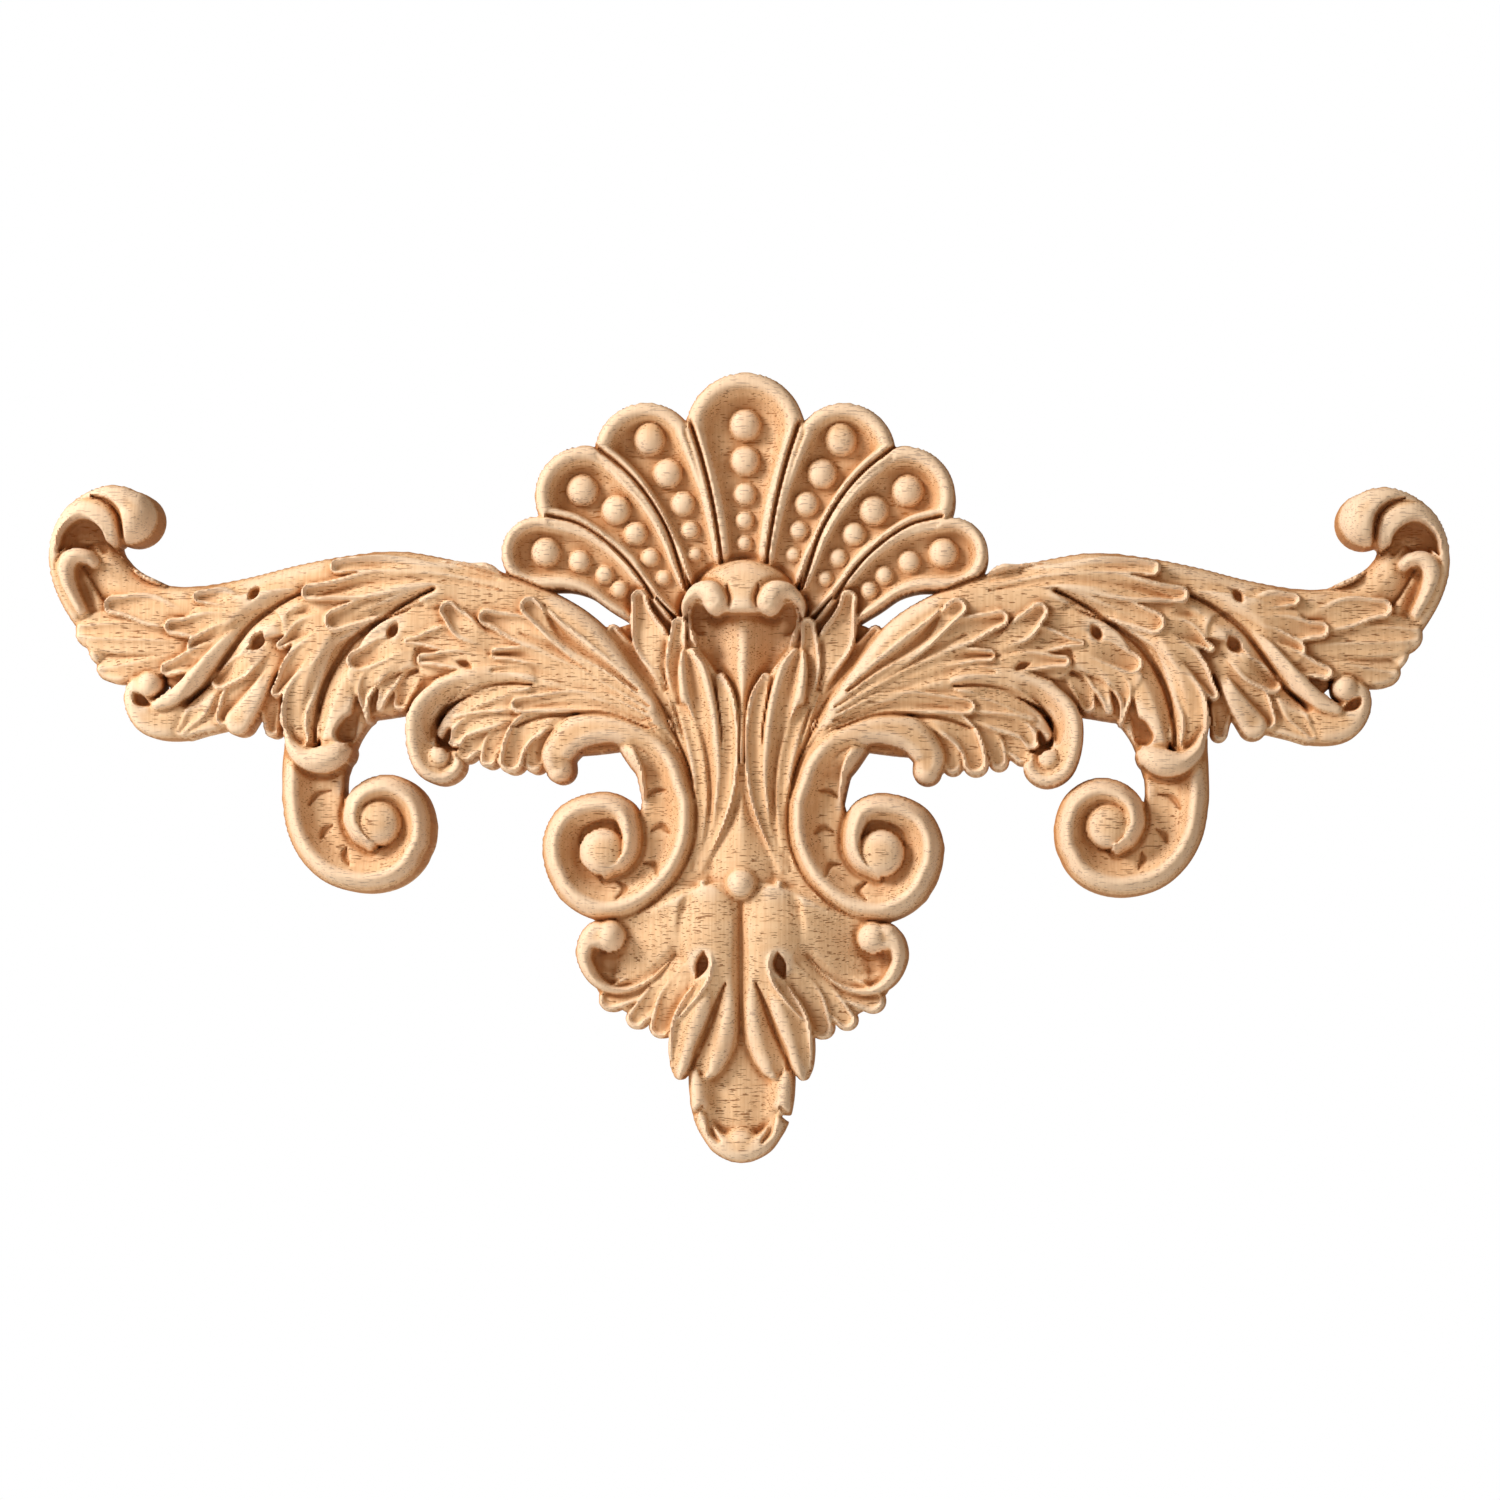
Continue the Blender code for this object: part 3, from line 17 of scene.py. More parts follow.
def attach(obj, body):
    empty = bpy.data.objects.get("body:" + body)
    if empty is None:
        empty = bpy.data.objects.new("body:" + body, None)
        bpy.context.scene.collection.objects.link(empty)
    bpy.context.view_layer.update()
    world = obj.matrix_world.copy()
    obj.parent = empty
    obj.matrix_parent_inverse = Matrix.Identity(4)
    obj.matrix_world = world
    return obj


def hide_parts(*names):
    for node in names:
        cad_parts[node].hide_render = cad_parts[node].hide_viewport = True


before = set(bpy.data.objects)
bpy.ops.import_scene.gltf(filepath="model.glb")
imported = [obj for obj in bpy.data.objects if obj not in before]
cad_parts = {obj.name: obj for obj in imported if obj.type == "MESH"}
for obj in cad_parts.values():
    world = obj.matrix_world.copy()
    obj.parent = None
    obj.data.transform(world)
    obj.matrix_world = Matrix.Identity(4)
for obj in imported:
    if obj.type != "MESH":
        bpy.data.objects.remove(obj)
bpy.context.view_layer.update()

bl_info = {
    "name": "Carved Wood Applique",
    "version": (1, 0, 0),
    "blender": (4, 5, 0),
    "location": "View3D > Sidebar > Applique",
    "description": "Carves a symmetrical scroll and shell applique and lights it for a product picture",
    "category": "Add Mesh",
}

MM = 0.001
NODE = "carved_applique"
BODY = "root"
WIDTH = 284.0
TOP = 81.0
FOOT = -80.5


class CarvingSizes(bpy.types.PropertyGroup):
    """How finely the carving is worked out."""
    step: FloatProperty(
        name="Step", description="Distance between the points that the height is worked out at",
        default=0.36 * MM, min=0.2 * MM, max=2 * MM, precision=5, unit='LENGTH')
    soften: FloatProperty(name="Soften", description="How far the height is evened out, as sanding does",
                          default=0.12 * MM, min=0.0, max=2 * MM, precision=5, unit='LENGTH')
    # The hollow reach sets how hollows are found for the painted shade in them and the painted highlight on
    # the raised parts.
    hollow: FloatProperty(name="Hollow reach",
                          description="How far round a point the wood is compared with it, to find hollows",
                          default=1.3 * MM, min=0.2 * MM, max=5 * MM, precision=5, unit='LENGTH')
    facets: IntProperty(name="Facets", description="The most triangles that the finished carving has",
                        default=190000, min=20000, max=199000)


class WoodLook(bpy.types.PropertyGroup):
    """Colours and surface of the wood, and the brown that is painted as shade in its hollows."""
    pale: FloatVectorProperty(name="Pale", description="The wood between its streaks", subtype='COLOR',
                              size=4, min=0, max=1, default=(0.86, 0.59, 0.36, 1))
    tan: FloatVectorProperty(name="Tan", description="The darker streaks of the wood", subtype='COLOR',
                             size=4, min=0, max=1, default=(0.76, 0.47, 0.25, 1))
    pore: FloatVectorProperty(name="Pore", description="The short dark pores along the grain",
                              subtype='COLOR', size=4, min=0, max=1, default=(0.22, 0.08, 0.02, 1))
    # Shade is the warm brown of the tool lines and the end grain, and also the painted shade laid down in the
    # cuts.
    shade: FloatVectorProperty(name="Shade", description="The warm brown down in the cuts", subtype='COLOR',
                               size=4, min=0, max=1, default=(0.42, 0.15, 0.028, 1))
    roughness: FloatProperty(
        name="Roughness", description="How dull the wood is", default=0.62, min=0, max=1, subtype='FACTOR')
    tool_mark: FloatProperty(name="Tool marks", description="How strongly the fine upright tool lines show",
                             default=0.5, min=0, max=1, subtype='FACTOR')


class StageLook(bpy.types.PropertyGroup):
    """Camera, light and floor."""
    azimuth: FloatProperty(name="Azimuth", description="How far round to the right the camera stands",
                           default=math.radians(3.0), subtype='ANGLE')
    elevation: FloatProperty(name="Elevation", description="How far above the middle the camera stands",
                             default=math.radians(-3.0), subtype='ANGLE')
    distance: FloatProperty(name="Distance", description="From the camera to the middle of the back",
                            default=1.1, min=0.3, unit='LENGTH')
    span: FloatProperty(name="Span", description="The width of the picture at the back plane",
                        default=0.30275, min=0.05, precision=5, unit='LENGTH')
    aim_x: FloatProperty(name="Aim across", description="The point at the middle of the picture",
                         default=0.00089, precision=5, unit='LENGTH')
    aim_z: FloatProperty(name="Aim up", description="The point at the middle of the picture",
                         default=0.00444, precision=5, unit='LENGTH')
    roll: FloatProperty(name="Roll", description="How far the camera leans to its left",
                        default=math.radians(0.392), subtype='ANGLE')
    key: FloatProperty(name="Key light", description="Strength of the large soft light", default=21.0, min=0,
                       unit='POWER')
    air: FloatProperty(name="Air light", description="Strength of the light from all round", default=0.36,
                       min=0)
    floor: FloatVectorProperty(name="Floor", description="Colour of the plain floor", subtype='COLOR',
                               size=4, min=0, max=1, default=(0.86, 0.86, 0.85, 1))


# In millimetres: the thinnest wood, the narrowest stroke, how far in a point with no wood counts,
# how near a stroke a point is worked out, a scoop's rim and the fall behind it, how far a moat reaches,
# and the skirt round a stroke where its height is already laid on bare ground.
LEAST_WOOD = 2.0
LEAST_HALF = 0.05
NO_WOOD = -9.0
NEAR = 1.5
RIM = 0.4
FALL = 1.2
MOAT_REACH = 0.8
SKIRT = 0.4


def smooth(t):
    """Ease from 0 to 1: t^2 * (3 - 2 t)."""
    t = np.clip(t, 0.0, 1.0)
    return t * t * (3.0 - 2.0 * t)


def through(points, per_span=9):
    """A smooth curve through rows of values (Catmull-Rom)."""
    p = np.asarray(points, float)
    p = np.vstack([2 * p[0] - p[1], p, 2 * p[-1] - p[-2]])
    t = np.linspace(0.0, 1.0, per_span, endpoint=False)[:, None]
    rows = [0.5 * (2 * b + (c - a) * t + (2 * a - 5 * b + 4 * c - d) * t ** 2
                   + (3 * b - a - 3 * c + d) * t ** 3)
            for a, b, c, d in zip(p[:-3], p[1:-2], p[2:-1], p[3:])]
    return np.vstack(rows + [p[-2][None]])


def beside(path, side):
    """Move a drawn edge inwards by its half width, to the left (+1) or right (-1) of its travel."""
    step = np.gradient(path[:, :2], axis=0)
    step /= np.maximum(np.hypot(step[:, 0], step[:, 1]), 1e-9)[:, None]
    moved = path.copy()
    moved[:, 0] -= side * step[:, 1] * path[:, 2]
    moved[:, 1] += side * step[:, 0] * path[:, 2]
    return moved


def section(rows, value):
    """Read a section drawn by a few (place, height) rows, rounded between them."""
    curve = through(rows)
    return np.interp(value, curve[:, 0], curve[:, 1])


# The strokes were measured on the wing that stands a little further off and a little higher in the
# picture: towards its end all looks smaller by FAR and higher by LEAN for each millimetre.
FAR = 0.6e-4
LEAN = 0.003


class Carving:
    """A block of wood seen from the front: how far each point is inside the outline, and its height."""

    def __init__(self, x, z):
        far = 1.0 - FAR * np.abs(x)
        self.u = np.abs(x) * far
        self.z = z * far + LEAN * np.abs(x)
        self.right = x > 0.0
        self.inside = np.full(x.shape, NO_WOOD)
        self.height = np.zeros(x.shape)

    def follow(self, path, skew=0.0):
        """The points near a stroke, and where each lies on it.

        A point goes to the piece of the path where half width - distance is greatest. It gets that
        value, its share of the length, its signed place across (-1 to 1), its distance over the half
        width, the half width, and the height drawn there. skew widens one side and narrows the other.
        """
        reach = NEAR + abs(skew) * path[:, 2].max()
        low = (path[:, :2] - path[:, 2:3]).min(0) - reach
        high = (path[:, :2] + path[:, 2:3]).max(0) + reach
        at = np.nonzero((self.u > low[0]) & (self.u < high[0]) & (self.z > low[1]) & (self.z < high[1]))
        u = self.u[at]
        z = self.z[at]
        inside = np.full(u.shape, -1e3)
        along = np.zeros(u.shape)
        across = np.zeros(u.shape)
        out = np.zeros(u.shape)
        wide = np.ones(u.shape)
        top = np.zeros(u.shape)
        length = np.hypot(*np.diff(path[:, :2], axis=0).T)
        start = np.concatenate([[0.0], np.cumsum(length)])
        for k, (a, b) in enumerate(zip(path[:-1], path[1:])):
            d = b - a
            size = max(length[k], 1e-6)
            t = np.clip(((u - a[0]) * d[0] + (z - a[1]) * d[1]) / size ** 2, 0.0, 1.0)
            du = u - a[0] - t * d[0]
            dz = z - a[1] - t * d[1]
            far = np.hypot(du, dz)
            half = a[2] + t * d[2]
            if skew:
                half = half * (1.0 + skew * np.clip(2.0 * (d[0] * dz - d[1] * du) / (size * half), -1.0, 1.0))
            new = half - far > inside
            inside = np.where(new, half - far, inside)
            along = np.where(new, (start[k] + t * size) / start[-1], along)
            across = np.where(new, (d[0] * dz - d[1] * du) / (size * half), across)
            out = np.where(new, far / half, out)
            wide = np.where(new, half, wide)
            top = np.where(new, a[3] + t * d[3], top)
        return at, inside, along, np.clip(across, -1, 1), np.clip(out, 0, 1), wide, top

    def stroke(self, rows, side=0, crown=0.0, spoon=None, skew=0.0, flutes=0, groove=0.0,
               across=None, bowl_section=None, lip=None, rim=None, root=0.0, edge=0.5, moat=0.0,
               below=None, mode="over"):
        """One stroke along rows of (u, z, half width, height), laid over what is there.

        The height is the rows' own, plus crown * (1 - out^2), less a spoon that deepens along the
        stroke behind its rim, less groove * (1 - wave^2) in each flute, plus the sections read across,
        from the middle out (bowl_section), from the edge in (lip) or from one side in (rim). It takes
        over as inside grows to edge, and root fades it in from its start. A moat sinks the ground
        beside its edge by a bell curve. "dig" only cuts down, and "under" only fills bare ground.
        """
        path = through(rows)
        path[:, 2] = np.maximum(path[:, 2], LEAST_HALF)
        if side:
            path = beside(path, side)
        at, inside, along, q, out, wide, h = self.follow(path, skew=skew)
        fade = smooth(along / root) if root else 1.0
        if below is not None:
            fade = fade * smooth((below - self.z[at]) / 0.8)
        h = h + crown * (1.0 - out ** 2)
        if spoon is not None:
            deep, start, least = spoon
            deep = deep * (least + (1.0 - least) * smooth((along - start) / (0.92 - start)))
            h = h - deep * smooth((inside - RIM) / FALL)
        if flutes:
            cell = (q + 1.0) * 0.5 * flutes
            wave = 2.0 * (cell - np.minimum(np.floor(cell), flutes - 1)) - 1.0
            h = h - groove * (1.0 - wave ** 2)
        if across is not None:
            h = h + section(across, q)
        if bowl_section is not None:
            h = h + section(bowl_section, out) * np.minimum(0.5 + 0.05 * wide, 1.0)
        if lip is not None:
            h = h + section(lip, np.clip(inside, 0.0, lip[-1][0])) * fade
        if rim is not None:
            h = h + section(rim, np.clip((1.0 + side * q) * wide, 0.0, rim[-1][0]))
        now = self.height[at]
        before = self.inside[at]
        weight = smooth(inside / edge) * fade
        if mode == "dig":
            self.height[at] = now + (np.minimum(h, now) - now) * weight
            return
        if moat:
            now = now - moat * np.exp(-(inside / MOAT_REACH) ** 2) * fade
        if mode == "under":
            weight = np.zeros(weight.shape)
        bare = (1.0 - smooth(before / edge)) * smooth((inside + SKIRT) / SKIRT)
        weight = np.maximum(weight, bare)
        self.height[at] = now + (h - now) * weight
        self.inside[at] = np.maximum(before, inside)

    def groove(self, rows, depth, power=1.0):
        """Cut a line along rows of (u, z, half width), by depth * (1 - out^2)^power."""
        path = through([(u, z, w, 1.0) for u, z, w in rows])
        path[:, 2] = np.maximum(path[:, 2], LEAST_HALF)
        at, inside, _, _, out, _, _ = self.follow(path)
        self.height[at] -= depth * np.where(inside > 0, (1.0 - out ** 2) ** power, 0.0)

    def chip(self, rows):
        """A break in the right half alone: rows of (u, z, half width) cut out of the outline."""
        path = through([(u, z, w, 0.0) for u, z, w in rows])
        at, inside, *_ = self.follow(path)
        inside = np.where(self.right[at], inside, NO_WOOD)
        self.inside[at] = np.minimum(self.inside[at], -inside)
        self.height[at] -= 1.2 * smooth(inside / 0.4)

    def bead(self, u, z, radius):
        """A bead laid on what is there: 0.95 * radius * sqrt(1 - (distance / radius)^2)."""
        at = np.nonzero((np.abs(self.u - u) < radius) & (np.abs(self.z - z) < radius))
        far = np.hypot(self.u[at] - u, self.z[at] - z) / radius
        self.height[at] += 0.95 * radius * np.sqrt(np.clip(1.0 - far ** 2, 0.0, 1.0))

    def dome(self, u, z, radius, foot, top):
        """A round end: foot + (top - foot) * sqrt(1 - (distance / radius)^2), where that is higher."""
        at = np.nonzero((np.abs(self.u - u) < radius + 1) & (np.abs(self.z - z) < radius + 1))
        far = np.hypot(self.u[at] - u, self.z[at] - z) / radius
        rise = foot + (top - foot) * np.sqrt(np.clip(1.0 - far ** 2, 0.0, 1.0))
        now = self.height[at]
        self.height[at] = np.where(far < 1.0, np.maximum(now, rise), now)
        self.inside[at] = np.maximum(self.inside[at], radius * (1.0 - far))


SOFT = [(0.0, -1.0), (0.5, -0.3), (1.1, 0.0)]


def lobe(c, points, half, tops, neck=0.5, blunt=0.45, dish=1.5, fade=0.5, edge=0.4, moat=0.35, skew=0.0):
    """A leaf lobe along a few points: it grows out of the leaf, scooped inside a thin rim, and ends blunt.

    Its half width eases from neck to 1 over the first part and from 1 to blunt over the last, times
    half. Its height goes from the first top to the second as the share of the length to the power 1.4.
    """
    line = through(points, 12)
    far = np.concatenate([[0.0], np.cumsum(np.hypot(*np.diff(line, axis=0).T))])
    t = np.array([0.0, 0.2, 0.4, 0.6, 0.75, 0.88, 1.0])
    at = t * (far[-1] - half * blunt)
    width = half * (neck + (1.0 - neck) * smooth(t / 0.7)) * (1.0 - (1.0 - blunt) * smooth((t - 0.55) / 0.45))
    rows = np.stack([np.interp(at, far, line[:, 0]), np.interp(at, far, line[:, 1]), width,
                     tops[0] + (tops[1] - tops[0]) * t ** 1.4], 1)
    c.stroke(rows, spoon=(dish, 0.25, 0.1), root=fade, edge=edge, moat=moat, skew=skew, lip=SOFT)


def vein(c, rows, depth):
    """A leaf's rib line: a sharp cut down the middle of a wide soft hollow."""
    c.groove([(u, z, 3.6 * half) for u, z, half in rows], 0.55 * depth, 1.6)
    c.groove([(u, z, 0.75 * half) for u, z, half in rows], 0.6 * depth)


def carve_ground(c):
    """The low ground that the leaves of the wing are cut from."""
    c.stroke([(24, 8, 4, 9.5), (36, 14, 11, 8.5), (50, 19, 14.5, 8), (64, 23.5, 12.5, 8), (78, 23, 13, 8),
              (92, 23, 12, 8), (104, 22.5, 11.5, 7.5), (114, 26, 7.5, 7)])
    c.stroke([(70, 15, 3.5, 8.5), (75.0, 12.8, 2.5, 8.5), (79.4, 7.4, 2.4, 8.5), (82, 0, 2.4, 8.5)])
    c.stroke([(52, 9, 4.0, 8.0), (56.5, 7.5, 3.2, 7), (60, 8, 3.4, 4.5)])
    c.stroke([(117.6, 18.6, 1.8, 4.0), (121, 18.6, 2.2, 6.0)])
    c.stroke([(19, 23, 3.0, 8.5), (23.2, 26.8, 2.5, 8.5)])


def carve_arm(c):
    """The smooth round back of the scroll, along its upper edge, down to the inner volute."""
    edge = [(126.6, 44.8, 4.0, 8.5), (121.4, 39.0, 4.6, 9.0), (116.0, 37.1, 5.0, 10),
            (109.5, 37.0, 4.8, 10.6), (100, 38.6, 5.2, 11.2), (90, 41.1, 5.5, 11.8), (80, 43, 6, 12.4),
            (70, 43.9, 6.5, 13), (60, 42.4, 6.5, 13.4), (50, 40.0, 6.5, 13.4), (44, 38.2, 6.5, 13.6),
            (35.8, 34.4, 6.5, 14.4), (29.6, 30.3, 6.5, 15), (23.8, 24.4, 6.5, 15.3), (18, 16.5, 6.4, 15.5),
            (13.5, 7.5, 5.8, 15.5), (11.7, 3.6, 5.4, 15.4), (10.3, 0, 5.5, 15.3), (8.8, -6, 5.6, 15)]
    c.stroke(edge, side=1, lip=[(0, -4.0), (0.8, -2.2), (2.2, -0.7), (4.2, 0.0)])


def carve_end_curl(c):
    """The wave at the wing's end: a dished face, a band that folds over it, and its ball end."""
    c.stroke([(128, 30, 4, 8.4), (132.4, 36, 4, 7.0), (134.4, 42, 4, 6.6)])
    c.stroke([(106, 31, 4.0, 10.6), (114, 31.6, 4.6, 9.6), (120, 33.2, 5.2, 8.6), (126.0, 36.2, 5.4, 7.6),
              (130.0, 40.6, 5.4, 7.0), (131.8, 46, 5.4, 6.4)],
             across=[(-1, 0.4), (-0.5, -0.2), (0.1, -0.2), (0.6, 0.6), (1, 1.6)], edge=1.5)
    c.stroke([(132.4, 26.0, 1.3, 8.2), (135.5, 30.2, 1.7, 9.6), (138.2, 35.4, 1.9, 11), (139.6, 41, 1.9, 12),
              (139.1, 46.6, 2.0, 12.8), (136.7, 51.6, 2.6, 13.4), (132.7, 55.0, 3.4, 13.8),
              (127.9, 56.8, 3.9, 14.2), (124.0, 56.5, 4.0, 14.4), (121.2, 55.2, 4.0, 14.4)], side=1,
             lip=[(0, -2.6), (0.8, -1.2), (2, -0.3), (3.6, 0.2), (5, 0.4)], moat=0.5)
    c.dome(122.9, 50.3, 5.5, 8.0, 15.0)
    c.stroke([(134.8, 51.0, 1.2, 12.6), (131.8, 51.6, 2.6, 13.0), (128.6, 50.2, 3.3, 13.0),
              (127.0, 47.4, 2.6, 12.0), (127.2, 45.6, 1.4, 10.6)], crown=0.9, root=0.3, moat=0.5,
             lip=[(0, -2.0), (0.8, -0.7), (1.8, 0)])
    c.groove([(130.6, 54.4, 0.2), (128.4, 53.9, 0.5), (126.3, 52.6, 0.7), (125.0, 50.4, 0.8),
              (124.7, 47.6, 0.9), (124.9, 45.0, 0.9)], 2.4)


def carve_small_curl(c):
    """The dark hollow under the end curl's band, and the small curl that stands in it."""
    c.stroke([(137.3, 43.6, 0.5, 7.2), (135.6, 46.6, 1.6, 5.8), (132.8, 48.2, 2.2, 5.2),
              (130.0, 46.8, 1.9, 5.8), (128.6, 44.0, 1.0, 6.4)], mode="dig", edge=0.7)
    c.stroke([(133.2, 39.4, 0.5, 7.4), (132.6, 36.4, 1.5, 6.4), (131.0, 33.0, 1.3, 6.8),
              (129.6, 30.6, 0.5, 8)], mode="dig", edge=1.2)
    c.stroke([(131.2, 29.4, 1.0, 9.4), (133.6, 33.0, 1.5, 10.2), (135.6, 37.4, 1.9, 11.2),
              (135.9, 40.8, 2.3, 11.8), (134.2, 42.6, 2.0, 12.0), (131.9, 42.5, 1.7, 11.6),
              (130.6, 41.6, 1.5, 11.0)], crown=0.4, root=0.2, lip=[(0, -2.4), (0.8, -0.8), (1.6, 0)],
             moat=0.5)


def carve_outer_hand(c):
    """The last leaf, three broad lobes laid flat under the end curl, with flutes."""
    c.stroke([(104, 27, 3.0, 10), (112, 26.2, 4.6, 9.6), (121, 25.6, 6.2, 9.2), (126.6, 25.2, 5.4, 8.4)])
    c.stroke([(108, 24.4, 2.6, 9.8), (114, 23.2, 3.6, 9.6), (121, 21.6, 4.0, 9.2), (125.4, 20.7, 3.4, 8.4),
              (127.6, 20.4, 2.6, 8.0)], flutes=2, groove=0.7, root=0.4, moat=0.5, lip=SOFT)
    c.stroke([(108, 26.2, 2.6, 10.0), (115, 27.0, 4.0, 10.0), (122, 27.6, 4.9, 9.6), (128.4, 27.6, 4.4, 9.0),
              (131.2, 27.6, 3.3, 8.6)], flutes=3, groove=0.7, root=0.4, moat=0.5, lip=SOFT)
    lobe(c, [(108, 28.2), (115, 30.6), (121.5, 32.4), (128.6, 33.0)], 3.6, (10.8, 10.6), dish=1.8, blunt=0.6,
         fade=0.8)


def carve_hook(c):
    """The small hook at the bottom of the wing, with its ball and pit."""
    c.stroke([(103, 13.5, 3.6, 9), (108, 11.4, 3.9, 9.2), (113, 9.9, 3.9, 9.4), (118.3, 10.3, 3.8, 9.6),
              (121.3, 12.8, 2.9, 9.8), (121.6, 15.8, 2.6, 9.8), (119.6, 16.6, 2.6, 9.8)],
             lip=[(0, -1.6), (0.8, -0.5), (1.8, 0)], moat=0.6)
    c.dome(119.2, 17.0, 2.8, 7.5, 11.0)
    c.stroke([(121.8, 14.8, 0.7, 6.6), (120.9, 13.8, 1.3, 6.0), (119.2, 12.9, 0.6, 7)], mode="dig", edge=0.6)
    c.stroke([(105.4, 17, 1.6, 9.8), (107.6, 12.6, 2.4, 9.6), (109.2, 10.6, 2.6, 9.4)])
    c.stroke([(111.9, 8.1, 2.1, 9.2), (108.6, 9.4, 2.4, 9.2), (104.8, 10.6, 2.7, 9.2)])
    lobe(c, [(104.5, 19.5), (107.5, 14.5), (110.4, 10.6), (113.4, 6.6)], 2.6, (10.6, 9.4), blunt=0.5,
         dish=1.0)


FORE_RIB = [(88.4, 35.3, 0.5), (92, 33.6, 0.8), (96, 31.0, 0.9), (99.2, 28.3, 1.0), (101.6, 25.3, 1.0),
            (104, 22.0, 1.0), (106.2, 18.9, 0.9), (108.7, 15.8, 0.8), (111.6, 13.2, 0.4)]


def carve_fore_leaf(c):
    """The leaf between the big one and the end: lobes above its rib, then lobes below it."""
    c.stroke([(84, 32, 5.0, 12.6), (94, 31, 5.0, 12.4), (102, 30.0, 4.6, 12), (108, 29.4, 3.4, 11.2)],
             crown=0.4)
    c.stroke([(96, 28, 4.2, 12), (102, 24.5, 4.0, 11.6), (107, 20.8, 3.2, 11), (110, 18, 2.4, 10.4)],
             crown=0.4)
    lobe(c, [(98, 32.0), (104, 33.8), (110.4, 34.1)], 2.3, (12.4, 12.2), blunt=0.7, dish=1.9, skew=0.2,
         fade=0.85)
    lobe(c, [(97, 31.4), (104, 29.2), (110, 28.4), (116.2, 28.5)], 3.2, (12.6, 11.8), blunt=0.6, dish=2.0,
         fade=0.85)
    lobe(c, [(98, 30), (105, 26.2), (111.4, 23.2)], 3.0, (12.4, 11.8), blunt=0.95, dish=2.0, fade=0.85)
    lobe(c, [(100, 28), (106, 23.6), (111, 21.4), (116.9, 19.5)], 2.9, (11.8, 11.0), blunt=0.6, dish=1.8,
         fade=0.85)
    c.stroke([(98, 30.2, 0.9, 12.2), (103.2, 25.6, 1.5, 12), (107.2, 20.9, 1.9, 11.4),
              (110.7, 17.2, 2.1, 10.8), (114.4, 14.2, 1.8, 10.2), (117.4, 12.8, 1.3, 9.8)], crown=0.9,
             root=0.4, moat=0.4)
    c.stroke([(91, 24, 3, 9.4), (96, 22.0, 4.0, 10.2), (99, 17.0, 4.0, 9.4), (100, 12.5, 3.4, 8.6)])
    lobe(c, [(93.4, 20), (94.8, 13), (94.4, 6.4)], 2.5, (10.6, 8.8), blunt=0.7, dish=1.8, fade=0.6)
    lobe(c, [(94.6, 24), (99.4, 17.8), (102.8, 13.0), (104.6, 8.6)], 3.4, (12, 10.4), blunt=0.6, dish=1.7,
         fade=0.75)
    c.stroke([(93.4, 21.6, 0.8, 11.6), (96.0, 17.0, 1.7, 11.8), (98.8, 12.8, 2.4, 11.2),
              (101.2, 9.6, 2.9, 10.2)], crown=0.5, root=0.5, moat=0.4, lip=SOFT)
    lobe(c, [(94.6, 24.8), (99.4, 21.4), (103.2, 18.8), (106.8, 16.8)], 2.9, (12.6, 11.4), blunt=0.8,
         dish=2.2, fade=0.7)
    vein(c, FORE_RIB, 3.2)
    c.stroke([(98.7, 34.0, 0.5, 10), (98.0, 35.1, 1.1, 9.0), (97.2, 36.2, 0.5, 10)], mode="dig", edge=0.6)
    c.stroke([(98.2, 24.2, 0.7, 9), (97.3, 25.5, 1.4, 7.6), (96.5, 26.9, 0.7, 9)], mode="dig", edge=0.6)


def carve_outer_volute(c):
    """The outer volute: its stem, the winding rim over a hollow channel, and the domed eye."""
    rim = [(0, -4.0), (1.0, -2.0), (2.0, -0.4), (2.9, 0.0), (3.8, -0.7), (5.2, -2.4), (7.5, -3.6), (14, -3.2)]
    c.stroke([(84.8, 12, 6.2, 8.6), (85.5, 4, 6.2, 8.6), (86.2, -4, 6.2, 8.6), (84.6, -11, 5.8, 8.6)])
    c.stroke([(92.3, 6, 5.6, 12), (92.5, 0, 6.0, 12), (92.5, -6, 6.0, 12), (91.2, -13, 5.8, 12.2),
              (87.8, -19, 5.6, 12.5), (82.5, -23.1, 5.2, 12.8), (75.2, -24.7, 4.7, 13),
              (68.5, -23.1, 4.2, 13.1), (63.9, -18.7, 3.8, 13.2), (62.0, -12.2, 3.5, 13.3)], side=-1,
             rim=rim)
    c.stroke([(64.6, -19.6, 4.0, 13.1), (62.3, -15, 3.7, 13.2), (62.1, -9.8, 3.4, 13.3),
              (63.9, -5.0, 3.3, 13.4), (67.6, -1.9, 3.1, 13.5), (71.8, -1.0, 2.9, 13.6),
              (76.2, -2.3, 2.6, 13.7), (79.4, -5.6, 2.3, 13.8), (80.2, -10.3, 2.0, 13.8),
              (78.4, -14.4, 1.6, 13.6), (75.2, -16.5, 1.2, 13.4)], side=-1, rim=rim, root=0.08, moat=0.8)
    c.dome(72.8, -10.7, 4.7, 10.6, 13.8)
    for rows in (((86.9, -7.2, 0.3), (85.3, -4.9, 0.8), (82.6, -4.2, 0.3)),
                 ((84.2, -13.8, 0.3), (83.6, -12.2, 0.9), (82.2, -11.2, 0.3)),
                 ((79.3, -15.8, 0.3), (79.5, -17.3, 0.8), (78.6, -19.2, 0.3))):
        c.groove(rows, 1.0)


BIG_RIB = [(62, 35.9, 0.2), (67, 33.5, 0.5), (72, 30.2, 0.8), (76.4, 27.3, 1.0), (79.0, 25.0, 1.1),
           (81.5, 21.4, 1.0), (83.7, 17, 1.0), (85, 12.5, 0.9), (85.6, 8.5, 0.8), (85.6, 5.4, 0.5)]


